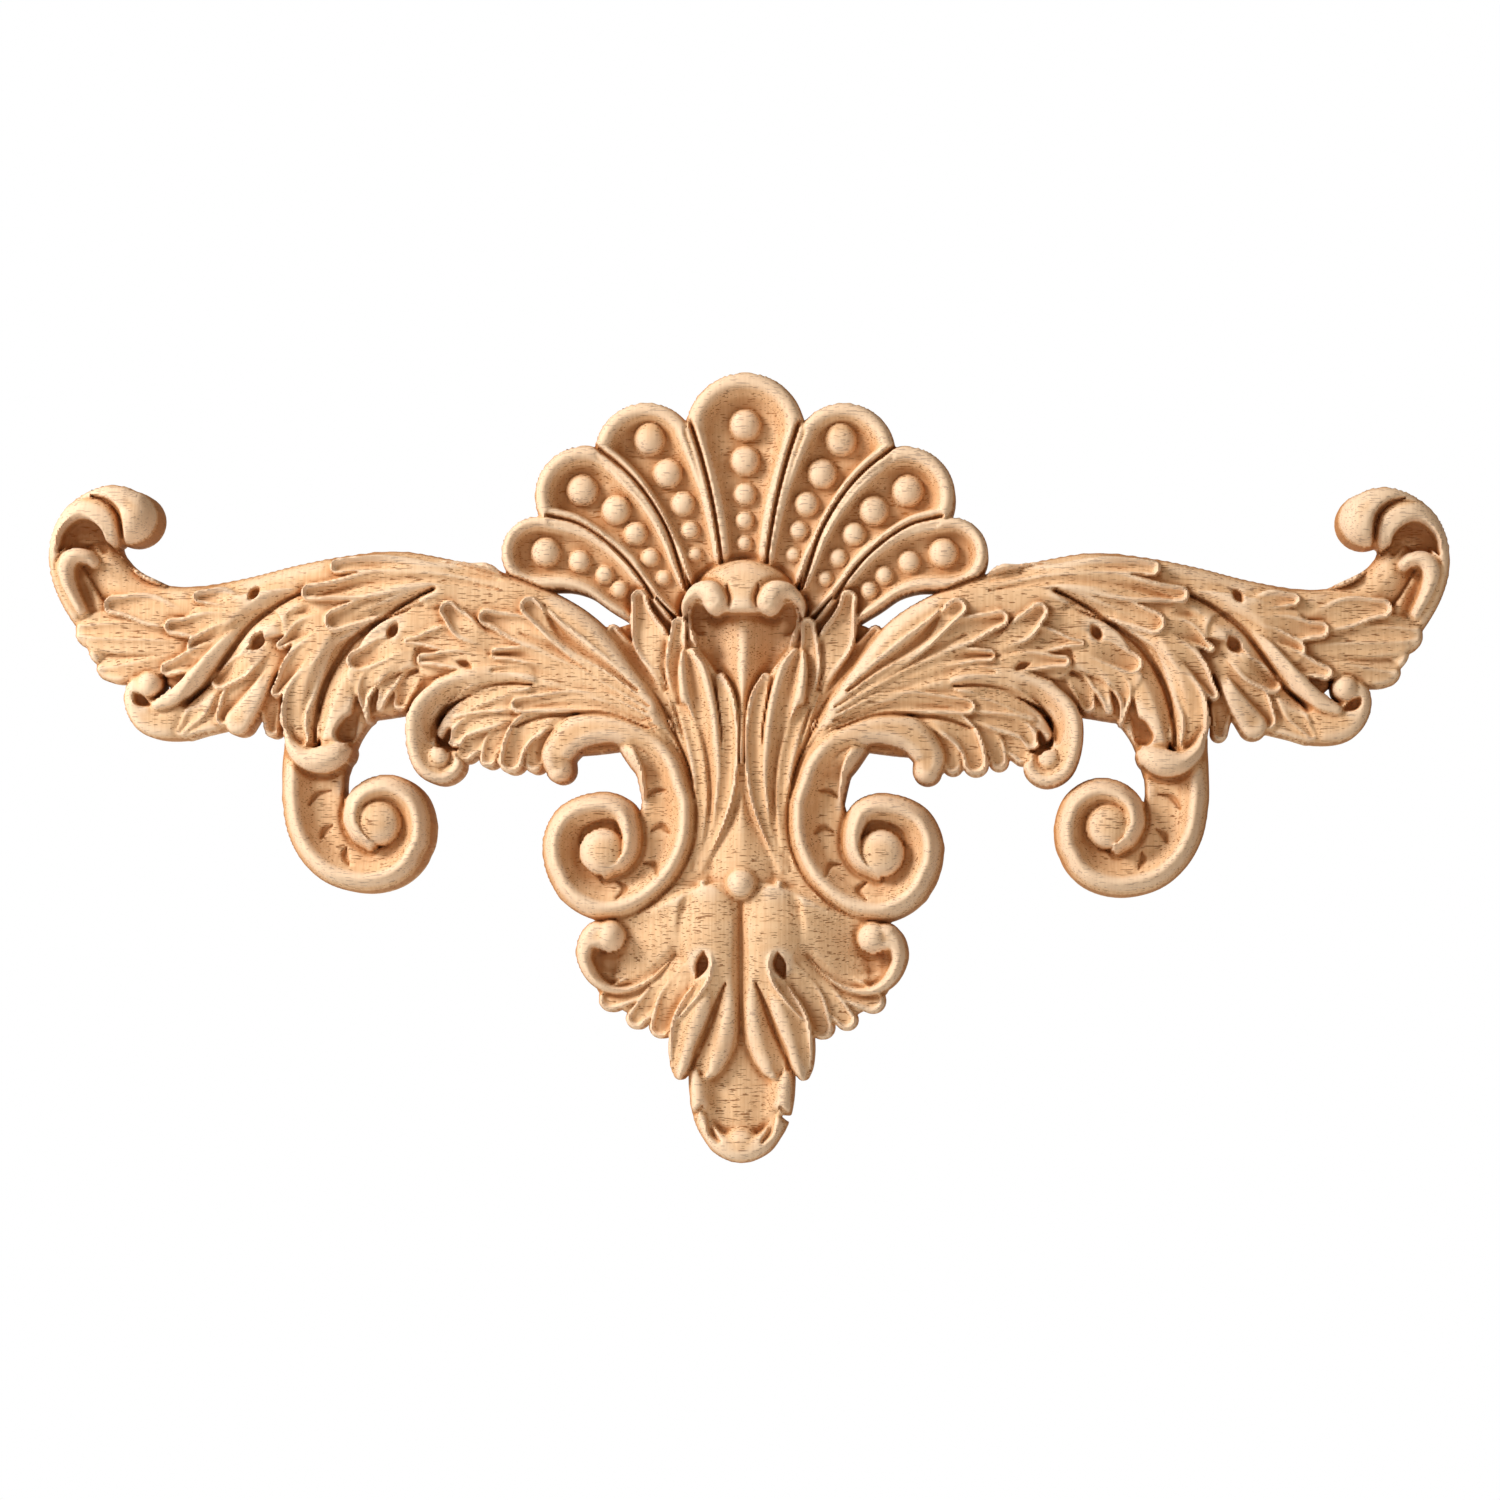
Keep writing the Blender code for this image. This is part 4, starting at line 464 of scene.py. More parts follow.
def carve_big_leaf(c):
    """The big leaf that wraps the arm: its turned-down lobes outside, its flutes along the top."""
    c.stroke([(66, 31, 3.0, 12.0), (74, 26.5, 4.0, 11.6), (80, 19.5, 4.6, 11.2), (82, 11, 3.6, 11.6),
              (81.8, 5.5, 3.0, 12.4)], crown=0.4)
    c.stroke([(77, 31.0, 3.4, 13.4), (84, 27.4, 4.2, 12.8), (87.6, 20.5, 4.2, 12.6), (88.6, 13, 3.6, 12.6),
              (87.8, 7, 3.6, 12.8)], crown=0.4)
    c.stroke([(52, 37.6, 3.6, 14.0), (66, 37.4, 4.2, 14.2), (77, 35.6, 4.4, 13.6), (83, 34.0, 3.2, 12.6)],
             root=0.5, edge=1.2)
    lobe(c, [(81, 32.6), (86.5, 32.0), (91.4, 30.2)], 2.0, (12.8, 12.4), dish=1.6, fade=0.75)
    lobe(c, [(79.5, 31.4), (86.5, 28.2), (93.4, 24.0)], 2.6, (13.4, 12.6), dish=2.0, fade=0.75, skew=0.15)
    lobe(c, [(79, 29.6), (85.6, 23.8), (90.2, 19.4), (93.8, 14.2)], 3.2, (13.6, 12.6), dish=2.1, fade=0.75,
         skew=0.15)
    lobe(c, [(80.5, 27), (86.6, 18.5), (89.6, 11.0), (88.4, 3.4)], 3.4, (13.6, 13.2), dish=2.2, blunt=0.8,
         fade=0.75)
    lobe(c, [(56, 37.4), (67, 34.8), (76, 31.6), (83.8, 28.7)], 3.2, (15.0, 14.4), blunt=0.8, dish=2.1,
         fade=0.85)
    lobe(c, [(54, 38.0), (67, 38.0), (79, 36.0), (88.6, 35.0)], 3.2, (15.4, 14.4), blunt=0.6, dish=2.0,
         fade=0.85)
    lobe(c, [(56, 38.8), (66, 40.6), (76, 40.9), (82.9, 40.2)], 2.0, (15.0, 14.6), blunt=0.9, dish=1.8,
         fade=0.85)
    vein(c, BIG_RIB, 3.4)
    c.groove([(82, 39.4, 0.5), (72, 40.2, 1.0), (60, 39.8, 1.0), (49, 37.8, 0.3)], 0.6)
    c.groove([(85, 34.4, 0.5), (75, 37.0, 1.0), (62, 37.8, 1.0), (49, 35.8, 0.3)], 0.8)
    c.stroke([(77.3, 11.3, 0.6, 7.6), (78.8, 9.2, 1.7, 7.0), (79.6, 7.2, 2.2, 7)], mode="dig", edge=0.7)
    c.stroke([(91.4, 8, 0.7, 11.8), (90.0, 4.4, 1.6, 13.2), (87, 2.0, 2.4, 14.2), (83.6, 1.9, 3.0, 14.6),
              (81.0, 2.8, 2.6, 14.2), (79.8, 3.4, 1.8, 13.4)],
             crown=0.9, lip=[(0, -2.4), (0.8, -0.9), (2, 0)], moat=0.8)


def carve_cross_leaf(c):
    """The short leaf between the big leaf and the inner one, with a drilled eye above it."""
    c.stroke([(60, 27, 6, 12.2), (70, 24.5, 5.6, 12.2), (76.2, 19, 3.2, 11.8)], crown=0.3)
    c.stroke([(62, 18, 3.0, 10.5), (67.5, 15.4, 2.9, 9.6), (71.6, 14.2, 2.8, 9.0)])
    lobe(c, [(63, 21.5), (67.2, 17.2), (69.0, 11.6)], 2.6, (11.8, 10.4), blunt=0.7, dish=1.5, fade=0.8)
    lobe(c, [(64, 23), (70.4, 18.0), (73.2, 11.4)], 2.1, (12, 10.8), blunt=0.5, dish=0.9, fade=0.8)
    lobe(c, [(64, 24.4), (71.8, 20.6), (75.7, 15.6), (75.1, 9.3)], 2.5, (12.8, 11.6), blunt=0.25, dish=1.8,
         fade=0.85)
    lobe(c, [(63, 25.4), (70.5, 24.0), (75.6, 21.8), (79.2, 20.4)], 3.0, (13, 12.2), blunt=0.85, dish=2.0,
         fade=0.85, skew=0.15)
    c.stroke([(70.8, 26.4, 0.7, 11), (70.2, 27.6, 1.2, 9), (69.5, 28.9, 0.7, 11)], mode="dig", edge=0.6)


INNER_RIB = [(62.4, 6.2, 0.3), (62.2, 8.8, 0.6), (60.6, 11.4, 0.9), (57, 14.2, 1.1), (52, 16.3, 0.9),
             (47, 17.0, 0.6), (42, 16.8, 0.2)]


def carve_inner_leaf(c):
    """The fluted leaf that springs from the inner scroll: lobes over its rib and a hanging curl."""
    c.stroke([(26, 13, 3.0, 14.2), (38, 15.4, 3.4, 13.4), (48, 15.4, 2.6, 12.8)])
    c.stroke([(20, 12, 3, 14.8), (32, 19.5, 5, 14.2), (44, 23, 6.5, 13.2), (56, 24.0, 5.0, 12.2),
              (62, 22, 4, 11.4)], crown=0.5)
    c.stroke([(44, 18, 3, 14.0), (54, 17.6, 3, 13.6), (60, 15.6, 3, 13.2)], crown=0.5)
    lobe(c, [(46, 24.4), (56, 26.2), (68.1, 25.4)], 3.3, (14.0, 13.4), blunt=0.3, dish=1.7, fade=0.8)
    lobe(c, [(46, 20.6), (57, 21.8), (65.4, 21.8)], 2.4, (14.0, 13.4), blunt=0.6, dish=1.8, fade=0.85)
    lobe(c, [(50, 24.5), (55.6, 28.2), (60.2, 33.2)], 3.0, (14.4, 15.0), blunt=0.7, dish=2.2, fade=0.7)
    lobe(c, [(34, 20.0), (43, 22.7), (50.6, 22.9)], 2.1, (14.8, 14.6), blunt=0.7, dish=1.8, fade=0.85)
    lobe(c, [(34, 22.6), (43.5, 27.4), (53.0, 30.8)], 3.3, (15.0, 15.2), blunt=0.6, dish=2.3, fade=0.75)
    lobe(c, [(18, 12.2), (27, 19.6), (36, 26.4), (44.2, 33.8)], 2.8, (16, 15.8), blunt=0.8, dish=2.1,
         fade=0.75)
    c.groove([(39.8, 32.4, 0.4), (36.6, 27.2, 1.1), (32, 23.4, 1.1), (27, 20.2, 0.8), (21, 15.6, 0.4)], 1.4)
    c.groove([(44.5, 27.0, 0.4), (38, 24.0, 1.2), (28, 18.6, 1.1), (18.6, 12.4, 0.3)], 0.8, 1.4)
    c.groove([(50.5, 22.9, 0.5), (44, 22.4, 1.3), (34, 19.2, 1.3), (19, 11.2, 0.3)], 0.8, 1.4)
    c.groove([(50.0, 19.6, 0.5), (42, 19.6, 1.3), (32, 16.4, 1.3), (18.2, 9.6, 0.3)], 0.9, 1.4)
    c.stroke([(54, 18.4, 1.5, 13.6), (60, 15.6, 2.6, 13.4), (63.9, 11.5, 3.1, 13.2), (64.6, 6.5, 3.1, 12.8),
              (63.2, 1.6, 3.1, 12.4), (60.6, -0.3, 2.8, 12), (58.5, 0.7, 2.6, 11.6), (58.0, 2.4, 1.7, 11)],
             across=[(-1, -3.0), (-0.6, -2.2), (-0.1, -1.0), (0.3, -0.1), (0.6, 0.1), (0.82, -0.5),
                     (1, -1.8)], root=0.25, moat=0.6)
    c.dome(61.0, 2.4, 2.2, 10.6, 12.1)
    c.stroke([(57.0, 21.4, 0.5, 11.8), (55.6, 20.9, 0.9, 10.8), (54.4, 20.2, 0.5, 11.8)], mode="dig",
             edge=0.5)


def carve_under_leaf(c):
    """The lobes under the rib, hanging over the gap, and the last one that hooks down."""
    c.stroke([(38, 10, 4.5, 12), (46, 9, 5, 11.2), (53, 8, 3.6, 9.8)])
    c.stroke([(54, 6, 2.6, 8.0), (57.6, 4.4, 2.4, 7.0), (60, 3.6, 2.0, 7.0)], mode="under")
    c.stroke([(44, 15.0, 1.6, 13.4), (49, 14.4, 2.2, 13.0), (54, 12.8, 2.6, 12.2), (57.8, 10.2, 2.5, 11.0),
              (60.2, 7.6, 2.0, 9.6)], root=0.3, edge=0.9)
    c.stroke([(58, 9, 3.0, 9.4), (60.6, 5.6, 2.4, 8.8), (60, 3.4, 2.0, 8.0)], mode="under")
    lobe(c, [(45, 10.5), (51, 7), (57.2, 2.1)], 2.5, (11.6, 10.2), blunt=0.8, dish=1.0, fade=0.75)
    lobe(c, [(43, 11), (49.4, 6), (51.5, 0.3)], 2.6, (12, 10.4), blunt=0.8, dish=1.2, fade=0.75)
    lobe(c, [(40, 12.2), (50, 10.2), (56, 8), (58.5, 4.4)], 2.5, (13, 11.2), blunt=0.8, dish=1.4, fade=0.75)
    lobe(c, [(30, 13.8), (42, 13.8), (51, 12.4), (58.4, 10.4)], 2.1, (14.8, 11.6), blunt=0.35, dish=1.6,
         fade=0.85)
    lobe(c, [(34, 10.4), (40, 6.4), (42.3, -0.7)], 2.7, (13.4, 11.2), blunt=0.8, dish=1.1, fade=0.75)
    lobe(c, [(28, 12.8), (38, 10.9), (44.6, 6.6), (47.0, -0.8)], 3.3, (14.6, 12.2), blunt=0.8, dish=2.1,
         fade=0.75)
    lobe(c, [(15, 8.5), (26, 12.8), (36, 13.4), (46.6, 12.6)], 2.7, (15.6, 13.6), blunt=0.7, dish=1.7,
         fade=0.85)
    c.stroke([(12.5, -3, 2.2, 15), (18, 5, 2.6, 15), (26, 8.2, 3.2, 14.8), (33, 7.4, 3.7, 14.2),
              (37.0, 3.4, 3.4, 13), (36.7, 0.1, 2.9, 11.6)], crown=0.3, root=0.2,
             lip=[(0, -2.0), (0.8, -0.7), (2, 0)], moat=0.7)
    c.groove([(46, 8.4, 0.3), (40, 10.4, 0.6), (33, 11.0, 0.6), (26, 10.6, 0.5), (19, 8, 0.3)], 1.2)
    c.groove([(44, 11.9, 0.4), (36, 12.6, 1.0), (27, 12.4, 1.0), (17, 8.2, 0.3)], 0.7, 1.4)
    vein(c, INNER_RIB, 2.2)
    c.stroke([(60.6, 4.8, 0.6, 6.4), (59.6, 6.0, 1.0, 5.0), (58.9, 7.8, 0.6, 6.4)], mode="dig", edge=0.6)


def carve_inner_volute(c):
    """The inner volute: the scroll's channel winds in to a domed eye."""
    c.stroke([(27.5, -15, 9, 11.2), (27.5, -17, 9, 11.2)])
    rim = [(0, -4.5), (1.0, -2.2), (2.0, -0.5), (2.9, 0.0), (3.8, -0.7), (5.2, -2.4), (7.5, -3.8), (14, -3.4)]
    c.stroke([(17.0, 10.5, 3.6, 15), (12.2, 3.5, 4.4, 15), (10.0, -2, 5.0, 15), (8.6, -8, 5.9, 15),
              (9.4, -16, 6.6, 15), (13.4, -23.5, 6.2, 15), (20, -28.8, 5.6, 15), (27.5, -30.4, 5.0, 15),
              (34.2, -27.8, 4.6, 15), (38.6, -22.3, 4.3, 15), (40.1, -16, 4.0, 15)], side=1, rim=rim,
             root=0.2, edge=0.7)
    c.stroke([(37.2, -24.7, 4.4, 15), (39.7, -19, 4.1, 15), (39.8, -13, 3.8, 15), (37.2, -8, 3.5, 15),
              (32.5, -5.2, 3.2, 15.2), (26.6, -4.5, 2.9, 15.4), (22.0, -6.7, 2.6, 15.5),
              (19.9, -11.5, 2.3, 15.6), (20.1, -16.8, 2.0, 15.5), (22.6, -20.4, 1.6, 15.3),
              (26.4, -22.2, 1.2, 15)], side=1, rim=rim, root=0.08, moat=0.8)
    c.dome(27.7, -16.6, 4.7, 12.4, 15.6)
    for rows in (((19, -5.4, 0.3), (17.4, -4.2, 0.7), (15.4, -4.2, 0.3)),
                 ((18.2, -12.4, 0.3), (16.2, -11.4, 0.9), (14.5, -12.8, 0.3)),
                 ((19.6, -18.8, 0.3), (17.6, -19.0, 0.8), (16.8, -21.4, 0.3)),
                 ((24.8, -22.4, 0.3), (23.3, -24, 0.8), (24.9, -26.0, 0.3))):
        c.groove(rows, 1.0)


SHELL_LOBES = (
    # each lobe from its foot to its head as (u, z, half width), then its beads as (u, z, radius)
    (((0, 40, 4.4), (0, 46, 5.0), (0, 54.5, 7.0), (0, 67.7, 12.0)),
     ((0, 69.2, 3.3), (0, 62, 3.1), (0, 55.3, 2.4), (0, 50, 2.0), (0, 45.4, 1.7))),
    (((5, 31, 2.2), (7.6, 38, 3.6), (9.7, 45.5, 4.8), (13.6, 54.8, 7.0), (19.8, 63.2, 10.4)),
     ((19.2, 66.2, 3.3), (15.5, 59.4, 3.1), (12.4, 53.3, 2.6), (10.9, 48, 2.0), (9.8, 43.1, 1.6))),
    (((9, 29, 2.2), (14, 35, 3.2), (17, 39.8, 4.1), (19.8, 44.9, 5.1), (24.2, 49.9, 6.8), (32.0, 54.8, 10.1)),
     ((32.6, 56, 3.3), (25.8, 52, 3.1), (21.9, 47.3, 2.5), (18.8, 42.5, 2.0), (16.2, 38.4, 1.7))),
    (((13, 25, 2.6), (20.5, 32.4, 3.8), (24.5, 36, 4.7), (28.8, 39.8, 5.5), (34.3, 42.5, 6.6),
      (41.3, 43.3, 7.4)),
     ((39.8, 43.5, 3.1), (33, 41.7, 2.4), (28, 39, 2.0), (25, 36.1, 1.9))),
)
SHELL_GROOVES = (
    ((10.9, 69.6), (8.5, 62), (6.5, 54), (5.1, 46), (4.4, 40.5)),
    ((29.8, 64.6), (24, 60), (20, 55.5), (16.5, 50), (14.3, 45), (11.7, 36.5)),
    ((39.4, 50.8), (33.5, 49.3), (28.5, 46.3), (24, 42.3), (20.5, 38), (18.3, 34.5)),
)
SHELL_RIM = [(0, -4.2), (0.35, -4.0), (0.55, -3.1), (0.69, -1.0), (0.80, 0.0), (0.91, -0.2), (1.0, -1.2)]

TWIN_RIM = [(-1, -1.6), (-0.6, -0.1), (-0.3, 0.0), (0, -0.8), (0.3, 0.0), (0.6, -0.1), (1, -1.6)]


def carve_shell(c):
    """Seven lobes with raised rims round sunk faces, and a row of beads on each."""
    c.stroke([(0, 40, 17, 7.5), (0, 49, 22, 8)])
    c.stroke([(12, 26, 5, 8), (19, 32, 4.5, 8), (28, 42, 5, 8)])
    for path, beads in SHELL_LOBES:
        last = len(path) - 1
        c.stroke([(u, z, half, 12.0 + 1.2 * k / last) for k, (u, z, half) in enumerate(path)],
                 bowl_section=SHELL_RIM, edge=0.7)
    for path in SHELL_GROOVES:
        rows = [(u, z, 2.3 - 0.25 * k, 13.0 - 0.3 * k) for k, (u, z) in enumerate(path)]
        rows[0] = tuple(0.72 * a + 0.28 * b for a, b in zip(rows[0], rows[1]))
        c.stroke(rows, across=TWIN_RIM, edge=0.9)
        c.groove([(u, z, 0.5) for u, z in path], 1.6)
    for path, beads in SHELL_LOBES:
        for u, z, radius in beads:
            c.bead(u, z, radius)


def carve_hood(c):
    """The hood under the shell: a dome whose two ends curl under, over a fluted throat."""
    c.stroke([(0, 30.2, 12.3, 18.2), (0, 28.5, 12.3, 18.2)],
             bowl_section=[(0, 0), (0.3, -0.3), (0.55, -1.3), (0.75, -3.2), (0.9, -6.0), (1.0, -9.0)],
             moat=1.2)
    c.stroke([(0, 34, 11.5, 9.4), (0, 24, 9.0, 10.0), (0, 14, 5.5, 11.6), (0, 5, 2.4, 13.4),
              (0, 2, 1.2, 13.9)], across=[(-1, 1.2), (-0.62, -1.8), (-0.3, 0.2), (0, 2.2), (0.3, 0.2),
                                          (0.62, -1.8), (1, 1.2)], below=31.6)
    c.groove([(3.2, 36.8, 0.2), (2.8, 34.4, 0.6), (3.0, 31.4, 0.6)], 1.1)
    c.stroke([(12.0, 30.4, 0.6, 13.4), (11.5, 33.2, 1.1, 15.4), (9.2, 35.4, 1.8, 17.2),
              (6.6, 35.2, 2.5, 18.4), (5.3, 33.6, 2.7, 18.6), (5.3, 33.0, 2.6, 18.2)], crown=0.5,
             lip=[(0, -2.4), (0.8, -0.8), (1.8, 0)], moat=0.8)
    c.stroke([(9.4, 32.6, 0.7, 9.0), (9.0, 31.4, 1.7, 7.8), (8.2, 29.2, 2.6, 8.0)], mode="dig", edge=0.6)


def carve_centre_leaves(c):
    """Tall leaves that rise in a sheaf from the bead and part under the hood."""
    c.stroke([(8, -20.2, 1.2, 13), (6.2, -13, 2.6, 13.5), (5.2, -4, 4.2, 13.6), (6.2, 6, 5.4, 13.2),
              (9, 15, 5.5, 12.6), (12.5, 22, 4.4, 12)], lip=SOFT)
    lobe(c, [(13, 10), (20, 20.5), (27.2, 28.9)], 2.3, (12.6, 11.2), neck=0.5, blunt=0.6, dish=1.5, edge=0.7)
    lobe(c, [(13.0, 12), (16.2, 21), (19.6, 28.4), (21.4, 36.2)], 4.1, (13.2, 12.6), dish=2.2, moat=0.9)
    lobe(c, [(10.0, 4), (12.2, 15), (13.3, 23.5), (12.7, 30.7)], 2.9, (13.8, 13.2), neck=0.5, blunt=0.6,
         dish=1.7, moat=0.9)
    lobe(c, [(7.5, -6), (9.4, 2), (12.4, 9.4), (15.2, 16.0)], 1.9, (14.6, 13.2), neck=0.6, blunt=0.6,
         dish=1.2, edge=0.8, moat=0.2)
    c.stroke([(6.8, -12, 1.4, 14.4), (6.4, -2, 2.6, 14.8), (8.0, 9, 3.8, 15), (9.7, 18, 3.4, 14.6),
              (10.9, 22.6, 1.9, 13.8)], across=[(-1, 0.4), (-0.6, 0.4), (-0.1, -1.6), (0.4, -0.6),
                                                (0.7, 0.4), (1, 0.3)], lip=SOFT, moat=0.5, root=0.15)
    c.stroke([(7.3, -18.4, 0.7, 13.8), (4.5, -10.9, 1.4, 14.4), (3.1, -4.8, 2.0, 14.8), (2.5, 0.5, 2.1, 15),
              (2.4, 8, 2.0, 15), (3.2, 14, 2.0, 14.6), (4.5, 18.4, 1.2, 13.6)],
             across=[(-1, 0.3), (-0.4, -1.0), (0.3, -0.8), (0.7, 0.4), (1, 0.4)], lip=SOFT, moat=0.4,
             root=0.15)
    c.stroke([(9.8, -19.8, 1.0, 13), (8.6, -12, 1.6, 13.8), (8.3, -4, 1.8, 14), (9.6, 5, 1.9, 14),
              (12, 12, 1.4, 13.4)], across=[(-1, 0.3), (0, -0.8), (1, 0.3)], lip=SOFT, root=0.2, moat=0.5)


def carve_key(c):
    """The plain triangle between the sheaf's stems."""
    c.stroke([(0, 4, 2.0, 13.9), (0, -12, 4.5, 13.2), (0, -21, 8.5, 12.6)], mode="under")
    c.stroke([(0, -3.6, 0.4, 13.0), (0, -10, 2.4, 13.6), (0, -16, 4.8, 14.0), (0, -21.0, 6.9, 14.2)],
             across=[(-1, -2.2), (-0.8, -1.2), (-0.4, -0.1), (0, 0.4), (0.4, -0.1), (0.8, -1.2), (1, -2.2)],
             edge=0.8)


LEFT_RIM = [(-1, -2.0), (-0.6, -0.3), (-0.15, 0.2), (0.35, -0.8), (0.66, -1.1), (0.86, 0.2), (1, -0.5)]


def carve_bottom_leaf(c):
    """Two swelling halves that end in curls and lobes, parted by a narrow middle line."""
    c.stroke([(9.4, -19, 2.6, 12.6), (11, -24, 4.0, 12.6), (13, -28, 5.0, 12.6)], mode="under")
    c.stroke([(4, -28, 5.6, 14.2), (6, -34, 8, 14.0), (6, -44, 7, 12.2), (5.5, -53, 5.2, 10.6)])
    c.stroke([(12, -28, 5, 13), (17, -33.4, 8, 12.6), (22, -36.8, 8.0, 11.2), (24.4, -37.0, 7.6, 10.0)])
    c.stroke([(26.8, -43.0, 2.4, 9.4), (22.6, -45.8, 2.6, 9.6), (17.4, -48.2, 2.8, 9.8),
              (12, -50.6, 2.8, 10)])
    lobe(c, [(12, -36), (20, -42.6), (28.4, -47.0)], 3.3, (12.2, 10.4), fade=0.6, dish=1.3, blunt=0.8)
    lobe(c, [(11, -37), (16.5, -44.5), (22.4, -51.4)], 2.8, (12.4, 10.4), fade=0.6, dish=1.3, blunt=0.8)
    lobe(c, [(10, -38), (14, -46), (16.9, -53.6)], 3.1, (12.6, 10.6), fade=0.6, dish=1.5, blunt=0.8)
    c.stroke([(7.2, -26.4, 4.0, 15.2), (11.6, -30, 6.0, 15.0), (16.5, -33.6, 7.0, 13.2),
              (21.6, -36.2, 6.6, 10.6), (25.0, -37.0, 5.4, 8.2)], across=[(-1, -0.8), (-0.5, -0.3), (0, 0),
                                                                          (0.5, -0.2), (1, 0.4)], edge=2.4)
    c.stroke([(12.8, -37.4, 0.5, 12.4), (16.6, -41.8, 0.8, 11.8), (21.6, -44.6, 0.9, 11.4),
              (26.4, -44.9, 1.1, 11.8), (30.8, -42.3, 1.5, 12.6), (33.1, -37.5, 1.9, 13.6),
              (32.4, -33.1, 2.6, 14), (29.8, -30.5, 2.9, 14.2), (27.4, -30.4, 2.4, 14.4)], side=1,
             lip=[(0, -2.6), (0.7, -0.8), (1.5, 0)], crown=0.3, moat=0.8)
    c.dome(26.3, -33.2, 3.3, 11.0, 15.4)
    c.stroke([(29.2, -36.2, 1.2, 8.4), (28.4, -38.0, 2.0, 8.0), (26.4, -38.2, 1.6, 8.4)], mode="dig",
             edge=1.8)
    c.stroke([(6.6, -28.8, 6.3, 15.2), (6.7, -32, 6.5, 15.6), (6.0, -37, 5.7, 15.0), (4.8, -43, 4.5, 13.8),
              (4.0, -49, 3.8, 12.4), (3.8, -54, 3.4, 11.2)],
             across=[(-1, -1.4), (-0.85, -0.7), (-0.55, 0), (-0.1, 0.4), (0.4, -0.2), (1, -2.0)], edge=1.6)
    c.stroke([(2.4, -40, 1.8, 13.9), (2.8, -46, 2.7, 13.5), (3.8, -51.4, 3.5, 12.6), (5.0, -55.2, 3.9, 11.6),
              (6.0, -58.0, 3.3, 11.0), (6.5, -59.8, 2.2, 10.4)], across=LEFT_RIM, root=0.5, moat=0.2,
             lip=SOFT)
    c.stroke([(6.3, -41.4, 1.6, 14.8), (7.9, -45.4, 3.0, 14.4), (9.9, -50.2, 3.9, 13.4),
              (11.1, -54.6, 3.4, 12.2), (11.9, -58.4, 2.4, 11.2), (12.3, -60.8, 1.2, 10.6)], across=LEFT_RIM,
             root=0.3, moat=0.15, lip=SOFT)
    c.groove([(3.0, -42.6, 0.3), (5.0, -47.6, 0.7), (6.9, -52.0, 0.9), (8.7, -56.0, 0.9), (9.6, -59.6, 0.6)],
             1.4)
    c.groove([(0, -25, 0.6), (0, -33, 0.7), (0, -42, 0.6), (0, -50, 0.3)], 1.0)
    c.stroke([(7.4, -36.6, 0.4, 11), (7.7, -39.0, 1.5, 9.8), (8.6, -41.4, 0.6, 11)], mode="dig", edge=0.7)
    c.stroke([(6.6, -35.4, 0.3, 15.0), (5.7, -38.2, 0.6, 15.4), (6.3, -42, 0.7, 15.2), (9.0, -46, 0.6, 14.2),
              (12.2, -49.6, 0.5, 12.8)], crown=0.5, edge=0.6)


def carve_drop(c):
    """The drop at the foot: a hollow channel between two rims, with a small basin at its end."""
    c.stroke([(0, -50, 10.4, 10.6), (0, -60, 10.6, 10.4), (0, -66, 10.2, 10.0), (0, -69.4, 8.6, 9.4),
              (0, -73, 5.4, 8.8)], across=[(-1, -2.0), (-0.92, -0.5), (-0.82, 0), (-0.7, -0.5), (-0.5, -2.3),
                                           (-0.36, -2.4), (0, -1.7), (0.36, -2.4), (0.5, -2.3), (0.7, -0.5),
                                           (0.82, 0), (0.92, -0.5), (1, -2.0)])
    c.stroke([(9.7, -67.4, 1.0, 8.6), (9.3, -69.6, 1.5, 9.2), (8.1, -72.8, 1.8, 9.7), (5.8, -76.2, 2.3, 9.9),
              (2.4, -78.2, 2.7, 9.9), (-1, -78.7, 2.8, 9.9)], side=-1,
             lip=[(0, -2.4), (0.8, -0.8), (1.8, 0)], root=0.15, moat=0.8)
    c.stroke([(6.5, -69.0, 0.8, 7.7), (5.8, -72.2, 1.2, 7.4), (4.4, -74.2, 0.8, 7.6)], mode="dig", edge=1.2)
    c.dome(0, -74.9, 3.7, 6.8, 10.0)
    c.groove([(10.8, -68.7, 0.5), (9.2, -68.5, 0.7), (7.8, -67.2, 0.4)], 1.5)
    c.chip([(11.0, -69.8, 0.8), (9.6, -69.7, 0.7), (8.2, -69.2, 0.3)])


def carve(x, z):
    """The whole front, from what lies lowest to what lies on top."""
    c = Carving(x, z)
    carve_shell(c)
    carve_drop(c)
    carve_ground(c)
    carve_end_curl(c)
    carve_arm(c)
    carve_small_curl(c)
    carve_outer_hand(c)
    carve_hook(c)
    carve_fore_leaf(c)
    carve_outer_volute(c)
    carve_big_leaf(c)
    carve_cross_leaf(c)
    carve_inner_leaf(c)
    carve_under_leaf(c)
    carve_hood(c)
    carve_centre_leaves(c)
    carve_key(c)
    carve_bottom_leaf(c)
    carve_inner_volute(c)
    c.dome(0, -22.9, 3.5, 12.6, 17.4)
    c.height = np.maximum(c.height - 0.8 * (1.0 - smooth(c.inside / 0.8)), LEAST_WOOD)
    return c


def blur(values, known, reach):
    """Mean of the points round each one, weighted by exp(-(d / reach)^2 / 2), over known points only."""
    taps = int(math.ceil(2.5 * reach))
    weights = np.exp(-0.5 * (np.arange(-taps, taps + 1) / reach) ** 2)
    total = values * known
    share = known.astype(float)
    for axis in (0, 1):
        total = sum(w * np.roll(total, k - taps, axis) for k, w in enumerate(weights))
        share = sum(w * np.roll(share, k - taps, axis) for k, w in enumerate(weights))
    return total / np.maximum(share, 1e-9)


